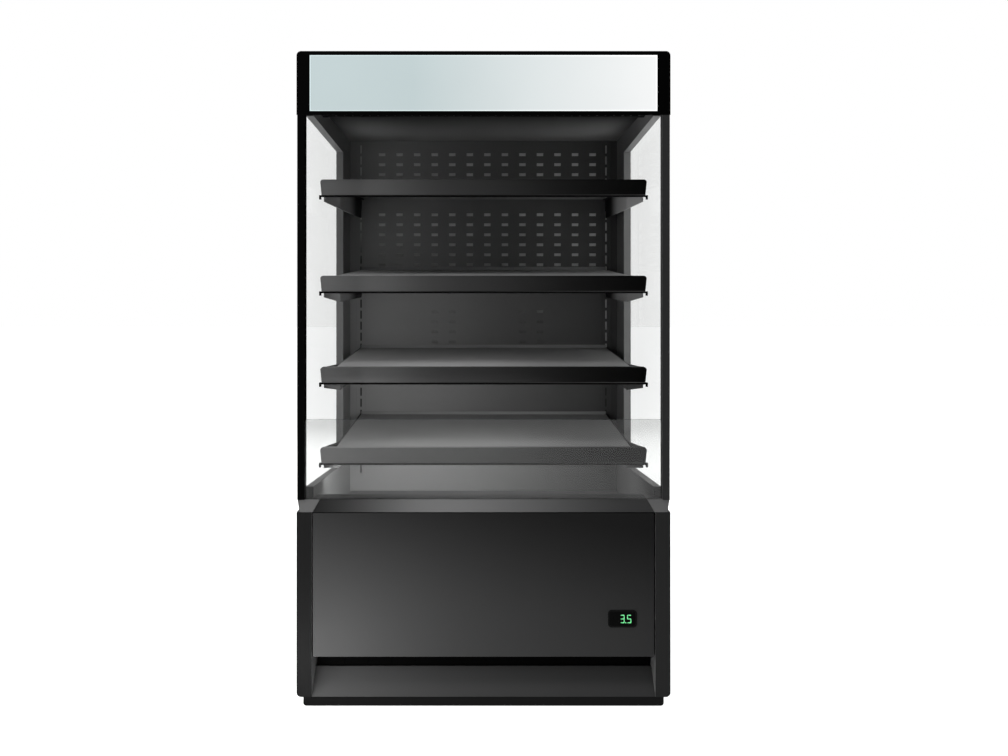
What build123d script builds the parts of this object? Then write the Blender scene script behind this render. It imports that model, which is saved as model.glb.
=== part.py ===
from build123d import *
import math
import os

# Open multideck display fridge, self-contained, with its refrigeration in the base.
# Millimetres. +Z is up, the customer stands on the -Y side, +X is the customer's right.
# The origin is on the floor, under the middle of the cabinet.
# Each section names its own sizes first. A piece that keeps its distance from a wall, a panel or
# another piece takes its place from that, by a named gap.

# ---------------------------------------------------------------- cabinet
cabinet_width = 1000.0
cabinet_depth = 700.0
cabinet_height = 1754.0
end_wall = 40.0            # thickness of each insulated end frame
back_wall_thickness = 45.0
roof_thickness = 50.0
corner_round = 12.0        # rounding of the outer edges seen from the front
fit = 0.2                  # gap left between panels that are assembled by hand
edge_ease = 2.0            # small rounding of pressed and cut edges
sheet = 1.5                # steel of the lining, the shelves and the deck

half_width = cabinet_width / 2
front_y = -cabinet_depth / 2
rear_y = cabinet_depth / 2
inner_x = half_width - end_wall
inner_fit_x = inner_x - fit
back_wall_y = rear_y - back_wall_thickness
roof_bottom = cabinet_height - roof_thickness

# ---------------------------------------------------------------- base and feet
plinth_lift = 2.0          # the plinth rail hangs clear of the floor on the feet
base_top = 26.7
plinth_side_inset = 17.5
plinth_end_inset = 1.0
plinth_rail = 25.0
plinth_round = 8.0
base_plate = 3.0
foot_side_inset = 60.0     # from each foot's axis to the cabinet's side
foot_end_inset = 45.0      # and to its front or back
foot_pad_radius = 20.0
foot_pad_edge = 3.5
foot_hex_z = 6.0
foot_hex_width = 17.0
foot_collar_z = 10.5
foot_stem_radius = 5.0
foot_stem_top = 34.0
foot_boss_radius = 14.0
foot_boss_bottom = 12.0
thread_clearance = 0.05    # radial running clearance of each turning fit

foot_x = half_width - foot_side_inset
foot_y = rear_y - foot_end_inset

# ---------------------------------------------------------------- header light box
header_height = 171.0
header_depth = 70.0
header_rise = 16.0         # its underside climbs towards the rear
header_sheet = 2.0
bezel_side = 35.0
bezel_edge = 10.7
sign_thickness = 3.0
sign_overlap = 5.0
batten_end_gap = 70.0      # from each end of a light batten to the cabinet's side
batten_height = 16.0
batten_depth = 10.0
batten_lifts = (49.0, 117.0)    # the sign's two battens above the light box's lower edge

header_bottom = cabinet_height - header_height
header_rear_y = front_y + header_depth
header_slope = header_rise / header_depth
batten_length = cabinet_width - 2 * batten_end_gap

# ---------------------------------------------------------------- tub and nose
tub_bottom = 265.0
tub_floor = 35.0
tub_front_gap = 22.0       # from the cabinet's front to the tub's front wall
tub_front_wall = 36.0
pipes_rear_gap = 110.0     # from the drain's and the pipe hole's axes to the cabinet's back
drain_radius = 9.0
drain_wall = 3.0
drain_above_tray = 20.3
line_hole_radius = 9.0
nose_bottom = 521.0
nose_height = 32.5
nose_lean = 5.0            # the nose face leans back by this much over its height
nose_tub_gap = 1.0
nose_plate = 7.5
nose_seat_gap = 0.5        # sealing gap between the tub's front wall and the nose's lip
cap_top_inset = 61.0       # inner edge of each end cap from the cabinet's side, at the top
cap_bottom_inset = 43.0    # and at the bottom
cap_taper = 6.5
cap_round = 3.0
front_glass_gap = 8.0      # from the cabinet's front to the glass
front_glass_thickness = 6.0
front_glass_seat = 10.0    # the glass stands this far above the nose's lower edge
front_glass_height = 236.4
glass_play = 0.3

tub_floor_top = tub_bottom + tub_floor
tub_front_y = front_y + tub_front_gap
tub_inner_y = tub_front_y + tub_front_wall
nose_top = nose_bottom + nose_height
nose_depth = tub_front_gap - nose_tub_gap
tub_wall_top = nose_top - nose_plate - nose_seat_gap
cap_top_x = half_width - cap_top_inset
cap_bottom_x = half_width - cap_bottom_inset
front_glass_y = front_y + front_glass_gap
front_glass_bottom = nose_bottom + front_glass_seat
front_glass_top = front_glass_bottom + front_glass_height

# ---------------------------------------------------------------- windows, posts and side glass
window_rear_gap = 249.0    # from the window's rear edge to the cabinet's back
window_head = 3.6          # its upper front corner above the light box's lower edge
window_fall = 20.0         # its upper edge falls by this much towards the rear
sill_lift = 32.0           # its sill, carried on to the cabinet's front, above the nose
sill_fall = 40.5           # the sill falls by this much towards the rear
post_depth = 25.0
post_width = 19.7
post_side_gap = 1.3
post_lip = 2.0             # the post in front of the glass, inside the cabinet
side_glass_thickness = 6.0
glass_overlap = 8.0        # the pane reaches this far behind the window's edges
skin_taper = 70.0          # the outer skin slopes in to the pane over this length behind it
skin_flare = 16.0          # and over this height above and below it

window_rear_y = rear_y - window_rear_gap
post_rear_y = front_y + post_depth
post_outer_x = half_width - post_side_gap
post_inner_x = post_outer_x - post_width
side_glass_x = post_inner_x + post_lip
seat_x = side_glass_x - fit
seat_width = side_glass_thickness + 2 * fit
sill_front = nose_top + sill_lift
sill_slope = -sill_fall / (window_rear_y - front_y)
window_top_front = header_bottom + window_head
window_top_slope = -window_fall / (window_rear_y - post_rear_y)

# ---------------------------------------------------------------- air path and lining
duct_depth = 75.0          # rear duct, from the back panel to the back wall
liner_gap = 0.2
ceiling_rise = 46.0        # the inner ceiling above the light box's lower edge
curtain_depth = 75.0       # the honeycomb's depth, behind the light box
ceiling_drop = 19.0        # the ceiling's front edge turns down to carry the honeycomb
honeycomb_thickness = 16.0
honeycomb_cell_x = 20.0
honeycomb_wall = 4.0
honeycomb_rows = 2
ledge = 8.0

back_panel_y = back_wall_y - duct_depth
liner_x = inner_x - liner_gap
ceiling_z = header_bottom + ceiling_rise
ceiling_front_y = header_rear_y + curtain_depth
honeycomb_z = ceiling_z - ceiling_drop + sheet

# ---------------------------------------------------------------- deck and return grille
deck_lift = 126.0          # the deck above the tub's floor
deck_side_gap = 3.0
deck_setback = 102.0       # from the cabinet's front to the deck's front edge
deck_rear_gap = 10.0
deck_flange = 20.0
deck_play = 1.0
deck_rib_gap = 20.0
finger_hole = (60.0, 22.0)
finger_hole_inset = 45.0
grille_tub_gap = 1.0
grille_drop = 45.5         # the grille below the top of the tub's front wall
grille_slot_width = 8.0
grille_slot_pitch = 24.0
grille_slot_length = 30.0
grille_windows = 6
grille_leg = 30.0

deck_z = tub_floor_top + deck_lift
deck_half_width = inner_x - deck_side_gap
deck_front_y = front_y + deck_setback
deck_rear_y = back_panel_y - deck_rear_gap
deck_seat_z = deck_z - deck_flange
grille_front_y = tub_inner_y + grille_tub_gap
grille_top = tub_wall_top - grille_drop

# ---------------------------------------------------------------- shelves
shelf_count = 4
top_shelf_slots = 5        # slots left above the top shelf's hooks
low_shelf_slots = 5        # and below the lowest shelf's hooks
shelf_drop = (21.0, 28.0, 21.0, 21.0)   # how far each shelf's front lies below its rear, top first
shelf_above_hook = 16.0    # the pan's rear edge stands this far above its upper hooks' seat
shelf_side_gap = 42.0      # from the pan to the end wall
shelf_setback = 132.0      # from the cabinet's front to the pan
shelf_rear_gap = 20.0      # from the pan to the back panel
shelf_flange = 25.0
shelf_upstand = 10.0
rib_width = 40.0
rib_side_gap = 148.0       # from the outer ribs' middle to the pan's side
bracket_thickness = 3.0
bracket_gap = 3.0          # side play between the pan and each bracket
bracket_bend_reach = 68.0  # behind this distance from the pan's front the bracket runs straight
bracket_tip_gap = 4.0      # its tip ends this far behind the pan's front
bracket_flare = 32.0
bracket_tip_drop = 62.0    # depth of the bracket's lower edge under the pan's front: at the tip
bracket_bend_drop = 76.0   # where it starts to flare out
bracket_root_drop = 66.0   # and at the upright
bracket_top_gap = 2.0
hook_height = 12.0
hook_tongue = 8.0
hook_reach = 6.0
hook_spacing = 1           # the lower hook is this many slots below the upper one
bracket_seat_gap = 0.1
bracket_ledge = 13.0
ledge_sheet = 2.0
strip_overhang = 45.5      # the price rail reaches this far past the pan on each side
strip_height = 44.5
strip_depth = 12.0
strip_sheet = 2.5
strip_corner = 8.0
strip_end_slant = 4.0
rail_height = 5.0
rail_overhang = 3.0
rail_hook = 12.0
rail_hook_width = 5.0
rail_proud = 1.0

shelf_half_width = inner_x - shelf_side_gap
shelf_front_y = front_y + shelf_setback
shelf_length = back_panel_y - shelf_rear_gap - shelf_front_y
rib_spacing = shelf_half_width - rib_side_gap
bracket_inner_x = shelf_half_width + bracket_gap
bracket_bend_y = shelf_front_y + bracket_bend_reach
bracket_tip_y = shelf_front_y + bracket_tip_gap
strip_half_width = shelf_half_width + strip_overhang

# ---------------------------------------------------------------- slotted uprights
upright_width = 30.0
upright_depth = 25.0
upright_sheet = 2.0
upright_deck_gap = 44.0
upright_ceiling_gap = 3.0
slot_pitch = 38.0
slot_height = 28.0
slot_width = 5.0
slot_lift = 14.0           # the lowest slot above the upright's lower end

upright_x = bracket_inner_x + bracket_thickness / 2
upright_bottom = deck_z + upright_deck_gap
upright_top = ceiling_z - upright_ceiling_gap
slot_first = upright_bottom + slot_lift
slot_count = int((upright_top - slot_first) // slot_pitch)
top_step = slot_count - top_shelf_slots
shelf_steps = [low_shelf_slots + i * (top_step - low_shelf_slots) // (shelf_count - 1)
               for i in reversed(range(shelf_count))]     # the slot under each shelf's hooks, top first

# ---------------------------------------------------------------- back panel louvres
louvre_columns = 13
louvre_pitch_z = 34.5
louvre_width = 22.0
louvre_height = 10.0
louvre_reach = 5.0         # how far each hood stands out of the panel
louvre_sheet = 1.1
louvre_lip = 0.2           # share of a hood's height that is its upright lip
louvre_left_margin = 47.1  # from the left upright to the first column
louvre_right_margin = 20.5
top_row_drop = 53.0        # first row of each band, below the ceiling
middle_row_drop = 260.0
low_row_drop = 594.0
top_rows = 5
middle_rows = 6
low_rows = 4
low_columns = (3, 4, 8, 9)

louvre_first_x = -upright_x + upright_width / 2 + louvre_left_margin + louvre_width / 2
louvre_last_x = upright_x - upright_width / 2 - louvre_right_margin - louvre_width / 2
louvre_pitch_x = (louvre_last_x - louvre_first_x) / (louvre_columns - 1)

# ---------------------------------------------------------------- panels around the base
front_panel_bottom = 133.7
panel_nose_gap = 2.3
panel_side_gap = 4.0
panel_setback = 1.0
front_panel_return = 17.0
panel_sheet = 1.5
panel_face_round = 1.0
pivot_depth = 3.5          # the panel's pins behind its face
pivot_drop = 3.7           # and below its top edge
panel_pin_radius = 2.5
panel_pin_reach = 10.0
kick_top = 84.6
kick_lean = 50.0           # the kick plate's top lies this far behind the cabinet's front
kick_setback = 1.5
kick_return = 40.0
kick_sheet = 3.0
kick_foot = 24.0
filter_gap = 1.0           # between the kick plate and the air filter
filter_depth = 6.0
filter_top = 150.0
filter_side_gap = 5.0
filter_rib = 8.0
filter_sink = 2.0          # the filter's mat lies this far behind its ribs
filter_pockets = 14
rear_grille_inset = 22.0
rear_grille_gap = 3.0
rear_slot_rows = 10
rear_slot_columns = 3
rear_slot_height = 7.0
rear_slot_pitch = 18.0
rear_slot_length = 150.0
rear_slot_bridge = 32.0
rear_slot_inset = 40.0
rear_slot_lift = 32.0
rear_sheet = 2.0

front_panel_top = nose_bottom - panel_nose_gap
front_panel_half_width = inner_x - panel_side_gap
front_panel_y = front_y + panel_setback
panel_pivot_y = front_panel_y + pivot_depth
panel_pivot_z = front_panel_top - pivot_drop
kick_top_y = front_y + kick_lean
kick_bottom_y = front_y + kick_setback
filter_y = kick_top_y + kick_sheet + filter_gap
rear_grille_y = rear_y - rear_grille_inset
rear_grille_top = tub_bottom - rear_grille_gap

# ---------------------------------------------------------------- electrical parts
box_side_gap = 30.0        # from the wiring box to the end wall
box_width = 180.0
box_depth = 133.0
box_rear_gap = 12.0
box_top = 190.0
box_round = 6.0
gland_inset = 35.0
gland_z = 70.0
gland_radius = 9.0
gland_bore = 5.0
gland_reach = 10.0
gland_depth = 20.0
gland_dome = 0.85          # the nut's radius as a share of the hexagon's
gland_round = 2.5
switch_inset = 40.0        # from the box's edge to the first switch, and on to the second
switch_z = 120.0
rocker_length = 20.0
rocker_width = 13.0
rocker_depth = 7.0
rocker_tilt = 8.0
rocker_proud = 1.5
rocker_gap = 0.6
rocker_pin_radius = 1.5
rocker_pin_reach = 3.0
rocker_pivot_depth = 3.0   # the rocker's pin lies this far inside the box's rear face
controller_inset = 84.3    # from the controller's middle to the panel's side edge
controller_lift = 102.3    # and to its lower edge
controller_width = 77.5
controller_height = 46.8
controller_corner = 10.0
controller_body = (71.0, 39.0)
controller_length = 55.0
bezel_proud = 1.0
lens_margin = 4.0
lens_thickness = 1.5

box_x = (inner_x - box_side_gap - box_width, inner_x - box_side_gap)
box_y = (rear_y - box_rear_gap - box_depth, rear_y - box_rear_gap)
gland_x = box_x[1] - gland_inset
switch_x = (box_x[0] + switch_inset, box_x[0] + 2 * switch_inset)
controller_x = front_panel_half_width - controller_inset
controller_z = front_panel_bottom + controller_lift

# ---------------------------------------------------------------- evaporator
fin_share = 0.3            # a fin's thickness as a share of its pitch
fin_inset = 3.0
return_bends = 3
coil_tube_radius = 4.0
evaporator_side_gap = 80.0
evaporator_rear_gap = 30.0
evaporator_depth = 180.0
evaporator_height = 92.0
evaporator_fins = 34
fan_plate_gap = 70.0       # from the fan plate to the evaporator
fan_plate_side_gap = 24.0
evaporator_fan_x = 200.0
fan_floor_gap = 3.0
evaporator_fan_radius = 50.0
evaporator_fan_depth = 20.0
evaporator_motor_radius = 21.0
evaporator_motor_length = 45.0
evaporator_arm_reach = 6.0  # the motor's arms stand this far outside the fan's ring
fan_gap = 5.0
fan_ring_sheet = 2.0
fan_ring_depth = 12.0
fan_inset = 8.0            # the rotor starts this far inside its ring
blade_count = 5
blade_thickness = 1.8
blade_root_angle = 50.0
blade_tip_angle = 68.0     # each blade twists between these two angles
hub_share = 0.3            # the hub's radius as a share of the rotor's
shaft_radius = 4.0
shaft_in_motor = 18.0
motor_bore = 20.0
motor_arm = 8.0            # width of the arms that carry a motor
motor_arm_sheet = 5.0
motor_gap = 6.0

evaporator_half_width = inner_x - evaporator_side_gap
evaporator_rear_y = deck_rear_y - evaporator_rear_gap
evaporator_y = (evaporator_rear_y - evaporator_depth, evaporator_rear_y)
fan_plate_y = evaporator_y[0] - fan_plate_gap
fan_plate_half_width = deck_half_width - fan_plate_side_gap
evaporator_fan_z = tub_floor_top + fan_floor_gap + evaporator_fan_radius + fan_gap

# ---------------------------------------------------------------- condensing unit
unit_side_gap = 40.0       # from the condenser and the drip tray to the end wall
condenser_front_gap = 4.0  # from the air filter to the coil
condenser_depth = 46.0
condenser_height = 190.0
condenser_fins = 26
shroud_depth = 40.0
condenser_fan_radius = 82.0
condenser_fan_depth = 30.0
condenser_motor_radius = 33.0
condenser_motor_length = 60.0
condenser_arm_reach = 7.0
compressor_rear_gap = 240.0     # from the compressor's axis to the cabinet's back
compressor_radius = 88.0
compressor_height = 190.0
discharge_stub_x = -20.0   # pipe stubs, measured from the compressor's axis
suction_stub_y = 45.0
stub_reach = 10.0
seam_band = 3.0            # the shell's weld seam stands this far out
seam_height = 8.0
terminal_cover = (28.0, 60.0, 65.0)
terminal_bottom = 50.0
grommet_height = 10.0
grommet_radius = 12.0
mount_plate = (230.0, 170.0)
mount_plate_sheet = 3.0
mount_hole_inset = 18.0
mount_hole_radius = 4.5
tube_radius = 4.8
tube_bend = 14.0
tube_seat_gap = 0.1
line_box_gap = 35.0        # from the pipe hole's axis to the wiring box
suction_run = 57.0         # length of the suction line before it turns
suction_drop = 47.5        # the suction stub below the top of the shell
suction_reach = 30.0       # the suction line ends this far above the tub's floor
discharge_run = 102.0      # and of the discharge line towards the condenser
discharge_lift = 60.0      # the discharge line above the grommets
liquid_drop = 20.0         # the liquid line below it
liquid_inset = 8.0
drier_radius = 12.0
drier_length = 100.0
drier_riser = 50.0
drier_offset = 20.0        # the drier's axis from the compressor's
drier_setback = 90.0       # and from the condenser's front
tray_plate_gap = 55.0      # from the drip tray to the compressor's mounting plate
tray_rear_gap = 35.0
tray_depth = 255.0
tray_height = 45.0
tray_sheet = 2.0
tray_corner = 12.0

line_hole_x = box_x[0] - line_box_gap
pipes_y = rear_y - pipes_rear_gap
compressor_x = line_hole_x - suction_run - stub_reach - compressor_radius
compressor_y = rear_y - compressor_rear_gap
unit_left_x = -inner_x + unit_side_gap
condenser_x = (unit_left_x, compressor_x + discharge_stub_x - discharge_run - 2 * tube_bend)
condenser_front_y = filter_y + filter_depth + condenser_front_gap
condenser_y = (condenser_front_y, condenser_front_y + condenser_depth)
condenser_mid_x = sum(condenser_x) / 2
condenser_bottom = base_top
condenser_mid_z = condenser_bottom + condenser_height / 2
shroud_y = condenser_y[1] + shroud_depth
discharge_z = base_top + grommet_height + discharge_lift
suction_z = base_top + grommet_height + compressor_height - suction_drop
tray_x = (unit_left_x, compressor_x - mount_plate[0] / 2 - tray_plate_gap)
tray_y = (rear_y - tray_rear_gap - tray_depth, rear_y - tray_rear_gap)
drain_x = sum(tray_x) / 2
drain_bottom = base_top + tray_height + drain_above_tray

os.makedirs("parts", exist_ok=True)


# ---------------------------------------------------------------- drawing helpers
def block(x0, x1, y0, y1, z0, z1):
    """A block between two corners."""
    centre = ((x0 + x1) / 2, (y0 + y1) / 2, (z0 + z1) / 2)
    return Pos(*centre) * Box(x1 - x0, y1 - y0, z1 - z0)


def run_x(outline, x0, x1):
    """A profile drawn in (y, z), run along X."""
    return Pos(x0, 0, 0) * extrude(Plane.YZ * Polygon(*outline, align=None), x1 - x0, dir=(1, 0, 0))


def run_y(outline, y0, y1):
    """A profile drawn in (x, z), run along Y."""
    return Pos(0, y0, 0) * extrude(Plane.XZ * Polygon(*outline, align=None), y1 - y0, dir=(0, 1, 0))


def run_z(outline, z0, z1):
    """A profile drawn in (x, y), run along Z."""
    return Pos(0, 0, z0) * extrude(Polygon(*outline, align=None), z1 - z0, dir=(0, 0, 1))


def rod_y(x, z, radius, y0, y1):
    """A round bar along Y."""
    return Pos(x, (y0 + y1) / 2, z) * Rot(90, 0, 0) * Cylinder(radius, y1 - y0)


def rod_z(x, y, radius, z0, z1):
    """A round bar along Z."""
    return Pos(x, y, (z0 + z1) / 2) * Cylinder(radius, z1 - z0)


def rod_x(y, z, radius, x0, x1):
    """A round bar along X."""
    return Pos((x0 + x1) / 2, y, z) * Rot(0, 90, 0) * Cylinder(radius, x1 - x0)


def mirrored(shape):
    """The same piece for the other side of the cabinet."""
    return mirror(shape, about=Plane.YZ)


def edges_along(shape, axis, test):
    """The straight edges along an axis whose middle passes the test."""
    return [e for e in shape.edges().filter_by(axis) if test(e.center())]


def tube(points, bend, radius):
    """A round tube along straight runs joined by bends."""
    path = FilletPolyline(*points, radius=bend)
    return sweep(Plane(path @ 0, z_dir=path % 0) * Circle(radius), path=path)


def sill_at(y):
    """Height of the window sill at a depth."""
    return sill_front + (y - front_y) * sill_slope


def window_top_at(y):
    """Height of the window's upper edge at a depth."""
    return window_top_front + (y - post_rear_y) * window_top_slope


def header_underside_at(y):
    """Height of the light box's underside at a depth."""
    return header_bottom + (y - front_y) * header_slope


def save(node, shape):
    """Write one sub-part."""
    export_step(shape, f"parts/{node}.step")


# ---------------------------------------------------------------- base
def base_frame():
    """Plinth rail all round, closed by a plate that carries the machinery."""
    half_x, half_y = half_width - plinth_side_inset, rear_y - plinth_end_inset
    outer = block(-half_x, half_x, -half_y, half_y, plinth_lift, base_top)
    outer = fillet(edges_along(outer, Axis.Y, lambda c: c.Z < plinth_lift + 1), plinth_round)
    rims = [edge for face in outer.faces().filter_by(Axis.Y) for edge in face.edges()]
    outer = fillet([edge for edge in rims if edge.center().Z < base_top - fit], edge_ease)
    well_x, well_y = half_x - plinth_rail, half_y - plinth_rail
    frame = outer - block(-well_x, well_x, -well_y, well_y, 0, base_top - base_plate)
    for x in (-foot_x, foot_x):
        for y in (-foot_y, foot_y):
            frame += rod_z(x, y, foot_boss_radius, foot_boss_bottom, base_top - base_plate / 2)
            frame -= rod_z(x, y, foot_pad_radius + 2 * fit, 0, foot_boss_bottom)
            frame -= rod_z(x, y, foot_stem_radius + thread_clearance, 0, base_top + fit)
    return frame


def foot(x, y):
    """Levelling foot: pad, spanner flats and threaded stem."""
    profile = Polygon(
        (0, 0), (foot_pad_radius, 0), (foot_pad_radius, foot_pad_edge), (foot_hex_width / 2, foot_hex_z),
        (foot_stem_radius, foot_hex_z), (foot_stem_radius, foot_stem_top), (0, foot_stem_top), align=None)
    turned = revolve(Plane.XZ * profile, Axis.Z)
    flats = Pos(0, 0, foot_hex_z) * extrude(RegularPolygon(foot_hex_width / 2, 6, major_radius=False),
                                            foot_collar_z - foot_hex_z)
    return Pos(x, y, 0) * (turned + flats)


# ---------------------------------------------------------------- end frames, posts and glass
def window_outline(reach, rise):
    """The window's outline, carried on to the rear by a reach, and above and below by a rise."""
    front, rear = post_rear_y - fit, window_rear_y + reach
    canopy = header_bottom + header_rise + 2 * skin_flare
    return [
        (front, sill_at(front) - rise), (rear, sill_at(rear) - rise), (rear, window_top_at(rear) + rise),
        (header_rear_y, window_top_at(header_rear_y) + rise), (header_rear_y, canopy), (front, canopy)]


def end_frame():
    """Insulated end of the cabinet; its outer skin slopes in to the rebate that the pane is bonded in."""
    head_y = header_rear_y + fit
    outline = [
        (front_y, base_top), (rear_y, base_top), (rear_y, cabinet_height), (head_y, cabinet_height),
        (head_y, header_underside_at(head_y) - fit), (post_rear_y, header_underside_at(post_rear_y) - fit),
        (post_rear_y, window_top_at(post_rear_y)), (window_rear_y, window_top_at(window_rear_y)),
        (window_rear_y, sill_at(window_rear_y)), (post_rear_y, sill_at(post_rear_y)),
        (post_rear_y, nose_bottom - fit), (front_y, nose_bottom - fit)]
    wall = run_x(outline, inner_x, half_width)
    rounded = edges_along(wall, Axis.Y, lambda c: c.X > half_width - 1
                          and (c.Z < base_top + 1 or c.Z > cabinet_height - 1))
    wall = fillet(rounded, corner_round)
    rebate = window_outline(glass_overlap, glass_overlap)
    flared = window_outline(glass_overlap + skin_taper, glass_overlap + skin_flare)
    wall -= run_x(rebate, seat_x, seat_x + seat_width)
    inner_face = Pos(seat_x + seat_width, 0, 0) * (Plane.YZ * Polygon(*rebate, align=None))
    outer_face = Pos(half_width + fit, 0, 0) * (Plane.YZ * Polygon(*flared, align=None))
    wall -= loft([inner_face, outer_face], ruled=True)
    return wall - rod_x(panel_pivot_y, panel_pivot_z, panel_pin_radius + thread_clearance,
                        inner_x - fit, inner_x + panel_pin_reach)


def front_post():
    """Slim upright at the front of the side window, slotted for the edge of the glass."""
    top_rear = header_underside_at(post_rear_y)
    side = [(front_y, nose_top), (post_rear_y, nose_top), (post_rear_y, top_rear), (front_y, header_bottom)]
    post = run_x(side, post_inner_x, post_outer_x)
    outer_edge = edges_along(post, Axis.Z, lambda c: c.Y < front_y + 1 and c.X > post_inner_x + 1)
    post = fillet(outer_edge, edge_ease)
    return post - block(seat_x, seat_x + seat_width, post_rear_y - glass_overlap, post_rear_y + fit,
                        nose_top - fit, top_rear + fit)


def side_glass():
    """Fixed side pane, bonded to the end frame and let into the front post."""
    reach = glass_overlap - fit
    front, rear = post_rear_y - reach, window_rear_y + reach
    outline = [
        (front, sill_at(front) - reach), (rear, sill_at(rear) - reach),
        (rear, window_top_at(rear) + reach), (front, window_top_at(front) + reach)]
    pane = run_x(outline, side_glass_x, side_glass_x + side_glass_thickness)
    pane -= block(0, half_width, front - 1, post_rear_y + fit, 0, nose_top)
    head_y = header_rear_y + fit
    canopy = [(front - 1, header_underside_at(front - 1) - fit), (head_y, header_underside_at(head_y) - fit),
              (head_y, cabinet_height), (front - 1, cabinet_height)]
    return pane - run_x(canopy, 0, half_width)


# ---------------------------------------------------------------- tub, nose and front glass
def tub():
    """Insulated tub under the deck, with a drain spigot and a hole for the pipes."""
    outline = [
        (tub_front_y, tub_bottom), (back_wall_y - fit, tub_bottom), (back_wall_y - fit, tub_floor_top),
        (tub_inner_y, tub_floor_top), (tub_inner_y, tub_wall_top), (tub_front_y, tub_wall_top)]
    body = run_x(outline, -inner_fit_x, inner_fit_x)
    body += rod_z(drain_x, pipes_y, drain_radius + drain_wall, drain_bottom, tub_bottom + 1)
    body -= rod_z(drain_x, pipes_y, drain_radius, drain_bottom - 1, tub_floor_top + 1)
    return body - rod_z(line_hole_x, pipes_y, line_hole_radius, tub_bottom - 1, tub_floor_top + 1)


def nose_profile():
    """Section of the nose: a leaning face with a lip that covers the tub's front wall."""
    return [
        (front_y, nose_bottom), (front_y + nose_depth, nose_bottom),
        (front_y + nose_depth, nose_top - nose_plate),
        (tub_inner_y, nose_top - nose_plate), (tub_inner_y, nose_top), (front_y + nose_lean, nose_top)]


def glass_channel():
    """Slot in the nose that the front glass stands in."""
    rear = front_glass_y + front_glass_thickness + glass_play
    return block(-post_inner_x, post_inner_x, front_glass_y - glass_play, rear,
                 front_glass_bottom - glass_play, nose_top + 1)


def nose_rail():
    """Nose between its two end caps, its ends cut on the slant."""
    ends = [(-cap_bottom_x, nose_bottom), (cap_bottom_x, nose_bottom),
            (cap_top_x, nose_top), (-cap_top_x, nose_top)]
    rail = run_x(nose_profile(), -cap_bottom_x, cap_bottom_x) & run_y(ends, front_y, tub_inner_y)
    return rail - glass_channel()


def nose_caps():
    """Moulded end caps that close the nose at both sides."""
    gap = glass_play
    face = [(cap_bottom_x + gap, nose_bottom), (post_outer_x - cap_taper, nose_bottom),
            (post_outer_x, nose_top), (cap_top_x + gap, nose_top)]
    cap = run_x(nose_profile(), cap_top_x, half_width) & run_y(face, front_y, tub_inner_y)
    cap -= block(inner_fit_x, half_width, post_rear_y, rear_y, nose_bottom, nose_top + 1)
    low_outer = edges_along(cap, Axis.Y, lambda c: c.Z < nose_bottom + 1 and c.X > cap_bottom_x + 5)
    cap = fillet(low_outer, cap_round)
    cap -= glass_channel()
    return Compound(children=[cap, mirrored(cap)])


def front_glass():
    """Low front pane with its upper corners eased."""
    half = post_inner_x - fit
    rear = front_glass_y + front_glass_thickness
    pane = block(-half, half, front_glass_y, rear, front_glass_bottom, front_glass_top)
    return fillet(edges_along(pane, Axis.Y, lambda c: c.Z > front_glass_top - 1), edge_ease)


# ---------------------------------------------------------------- back, roof and header
def back_wall():
    """Insulated rear wall between the end frames, flanged out to the cabinet's back."""
    return block(-inner_fit_x, inner_fit_x, back_wall_y, rear_y, tub_bottom, roof_bottom - fit)


def roof_panel():
    """Insulated roof between the end frames."""
    return block(-inner_fit_x, inner_fit_x, header_rear_y + fit, rear_y, roof_bottom, cabinet_height)


def header_box():
    """Sheet-metal light box across the front of the canopy, open where the sign shows."""
    section = [
        (front_y, header_bottom), (header_rear_y, header_underside_at(header_rear_y)),
        (header_rear_y, cabinet_height), (front_y, cabinet_height)]
    box = run_x(section, -half_width, half_width)
    box = fillet(edges_along(box, Axis.Y, lambda c: c.Z > cabinet_height - 1), corner_round)
    inside_front = front_y + header_sheet
    inside_rear = header_rear_y - header_sheet
    cavity = [
        (inside_front, header_underside_at(inside_front) + header_sheet),
        (inside_rear, header_underside_at(inside_rear) + header_sheet),
        (inside_rear, cabinet_height - header_sheet), (inside_front, cabinet_height - header_sheet)]
    hollow = run_x(cavity, -half_width + header_sheet, half_width - header_sheet)
    hollow = fillet(edges_along(hollow, Axis.Y, lambda c: c.Z > cabinet_height - header_sheet - 1),
                    corner_round - header_sheet)
    box -= hollow
    sight_x = half_width - bezel_side
    box -= block(-sight_x, sight_x, front_y - 1, inside_front + 1, header_bottom + bezel_edge,
                 cabinet_height - bezel_edge)
    return box + block(-inner_fit_x, inner_fit_x, header_rear_y - 1, header_rear_y + ledge,
                       honeycomb_z - sheet, honeycomb_z)


def sign_panel():
    """Milky acrylic sheet behind the bezel."""
    sight_x = half_width - bezel_side + sign_overlap
    back = front_y + header_sheet
    return block(-sight_x, sight_x, back, back + sign_thickness, header_bottom + bezel_edge - sign_overlap,
                 cabinet_height - bezel_edge + sign_overlap)


def led_battens():
    """Three equal light battens: two behind the sign and one under the canopy."""
    low, high = batten_height * 0.32, batten_height * 0.5
    section = Polygon((0, -high), (0, high), (-batten_depth, low), (-batten_depth, -low), align=None)
    batten = Pos(-batten_length / 2, 0, 0) * extrude(Plane.YZ * section, batten_length)
    back = header_rear_y - header_sheet
    places = [Pos(0, back, header_bottom + lift) for lift in batten_lifts]
    places.append(Pos(0, ceiling_front_y + ledge + batten_height, ceiling_z) * Rot(90, 0, 0))
    return Compound(children=[place * batten for place in places])


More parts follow.
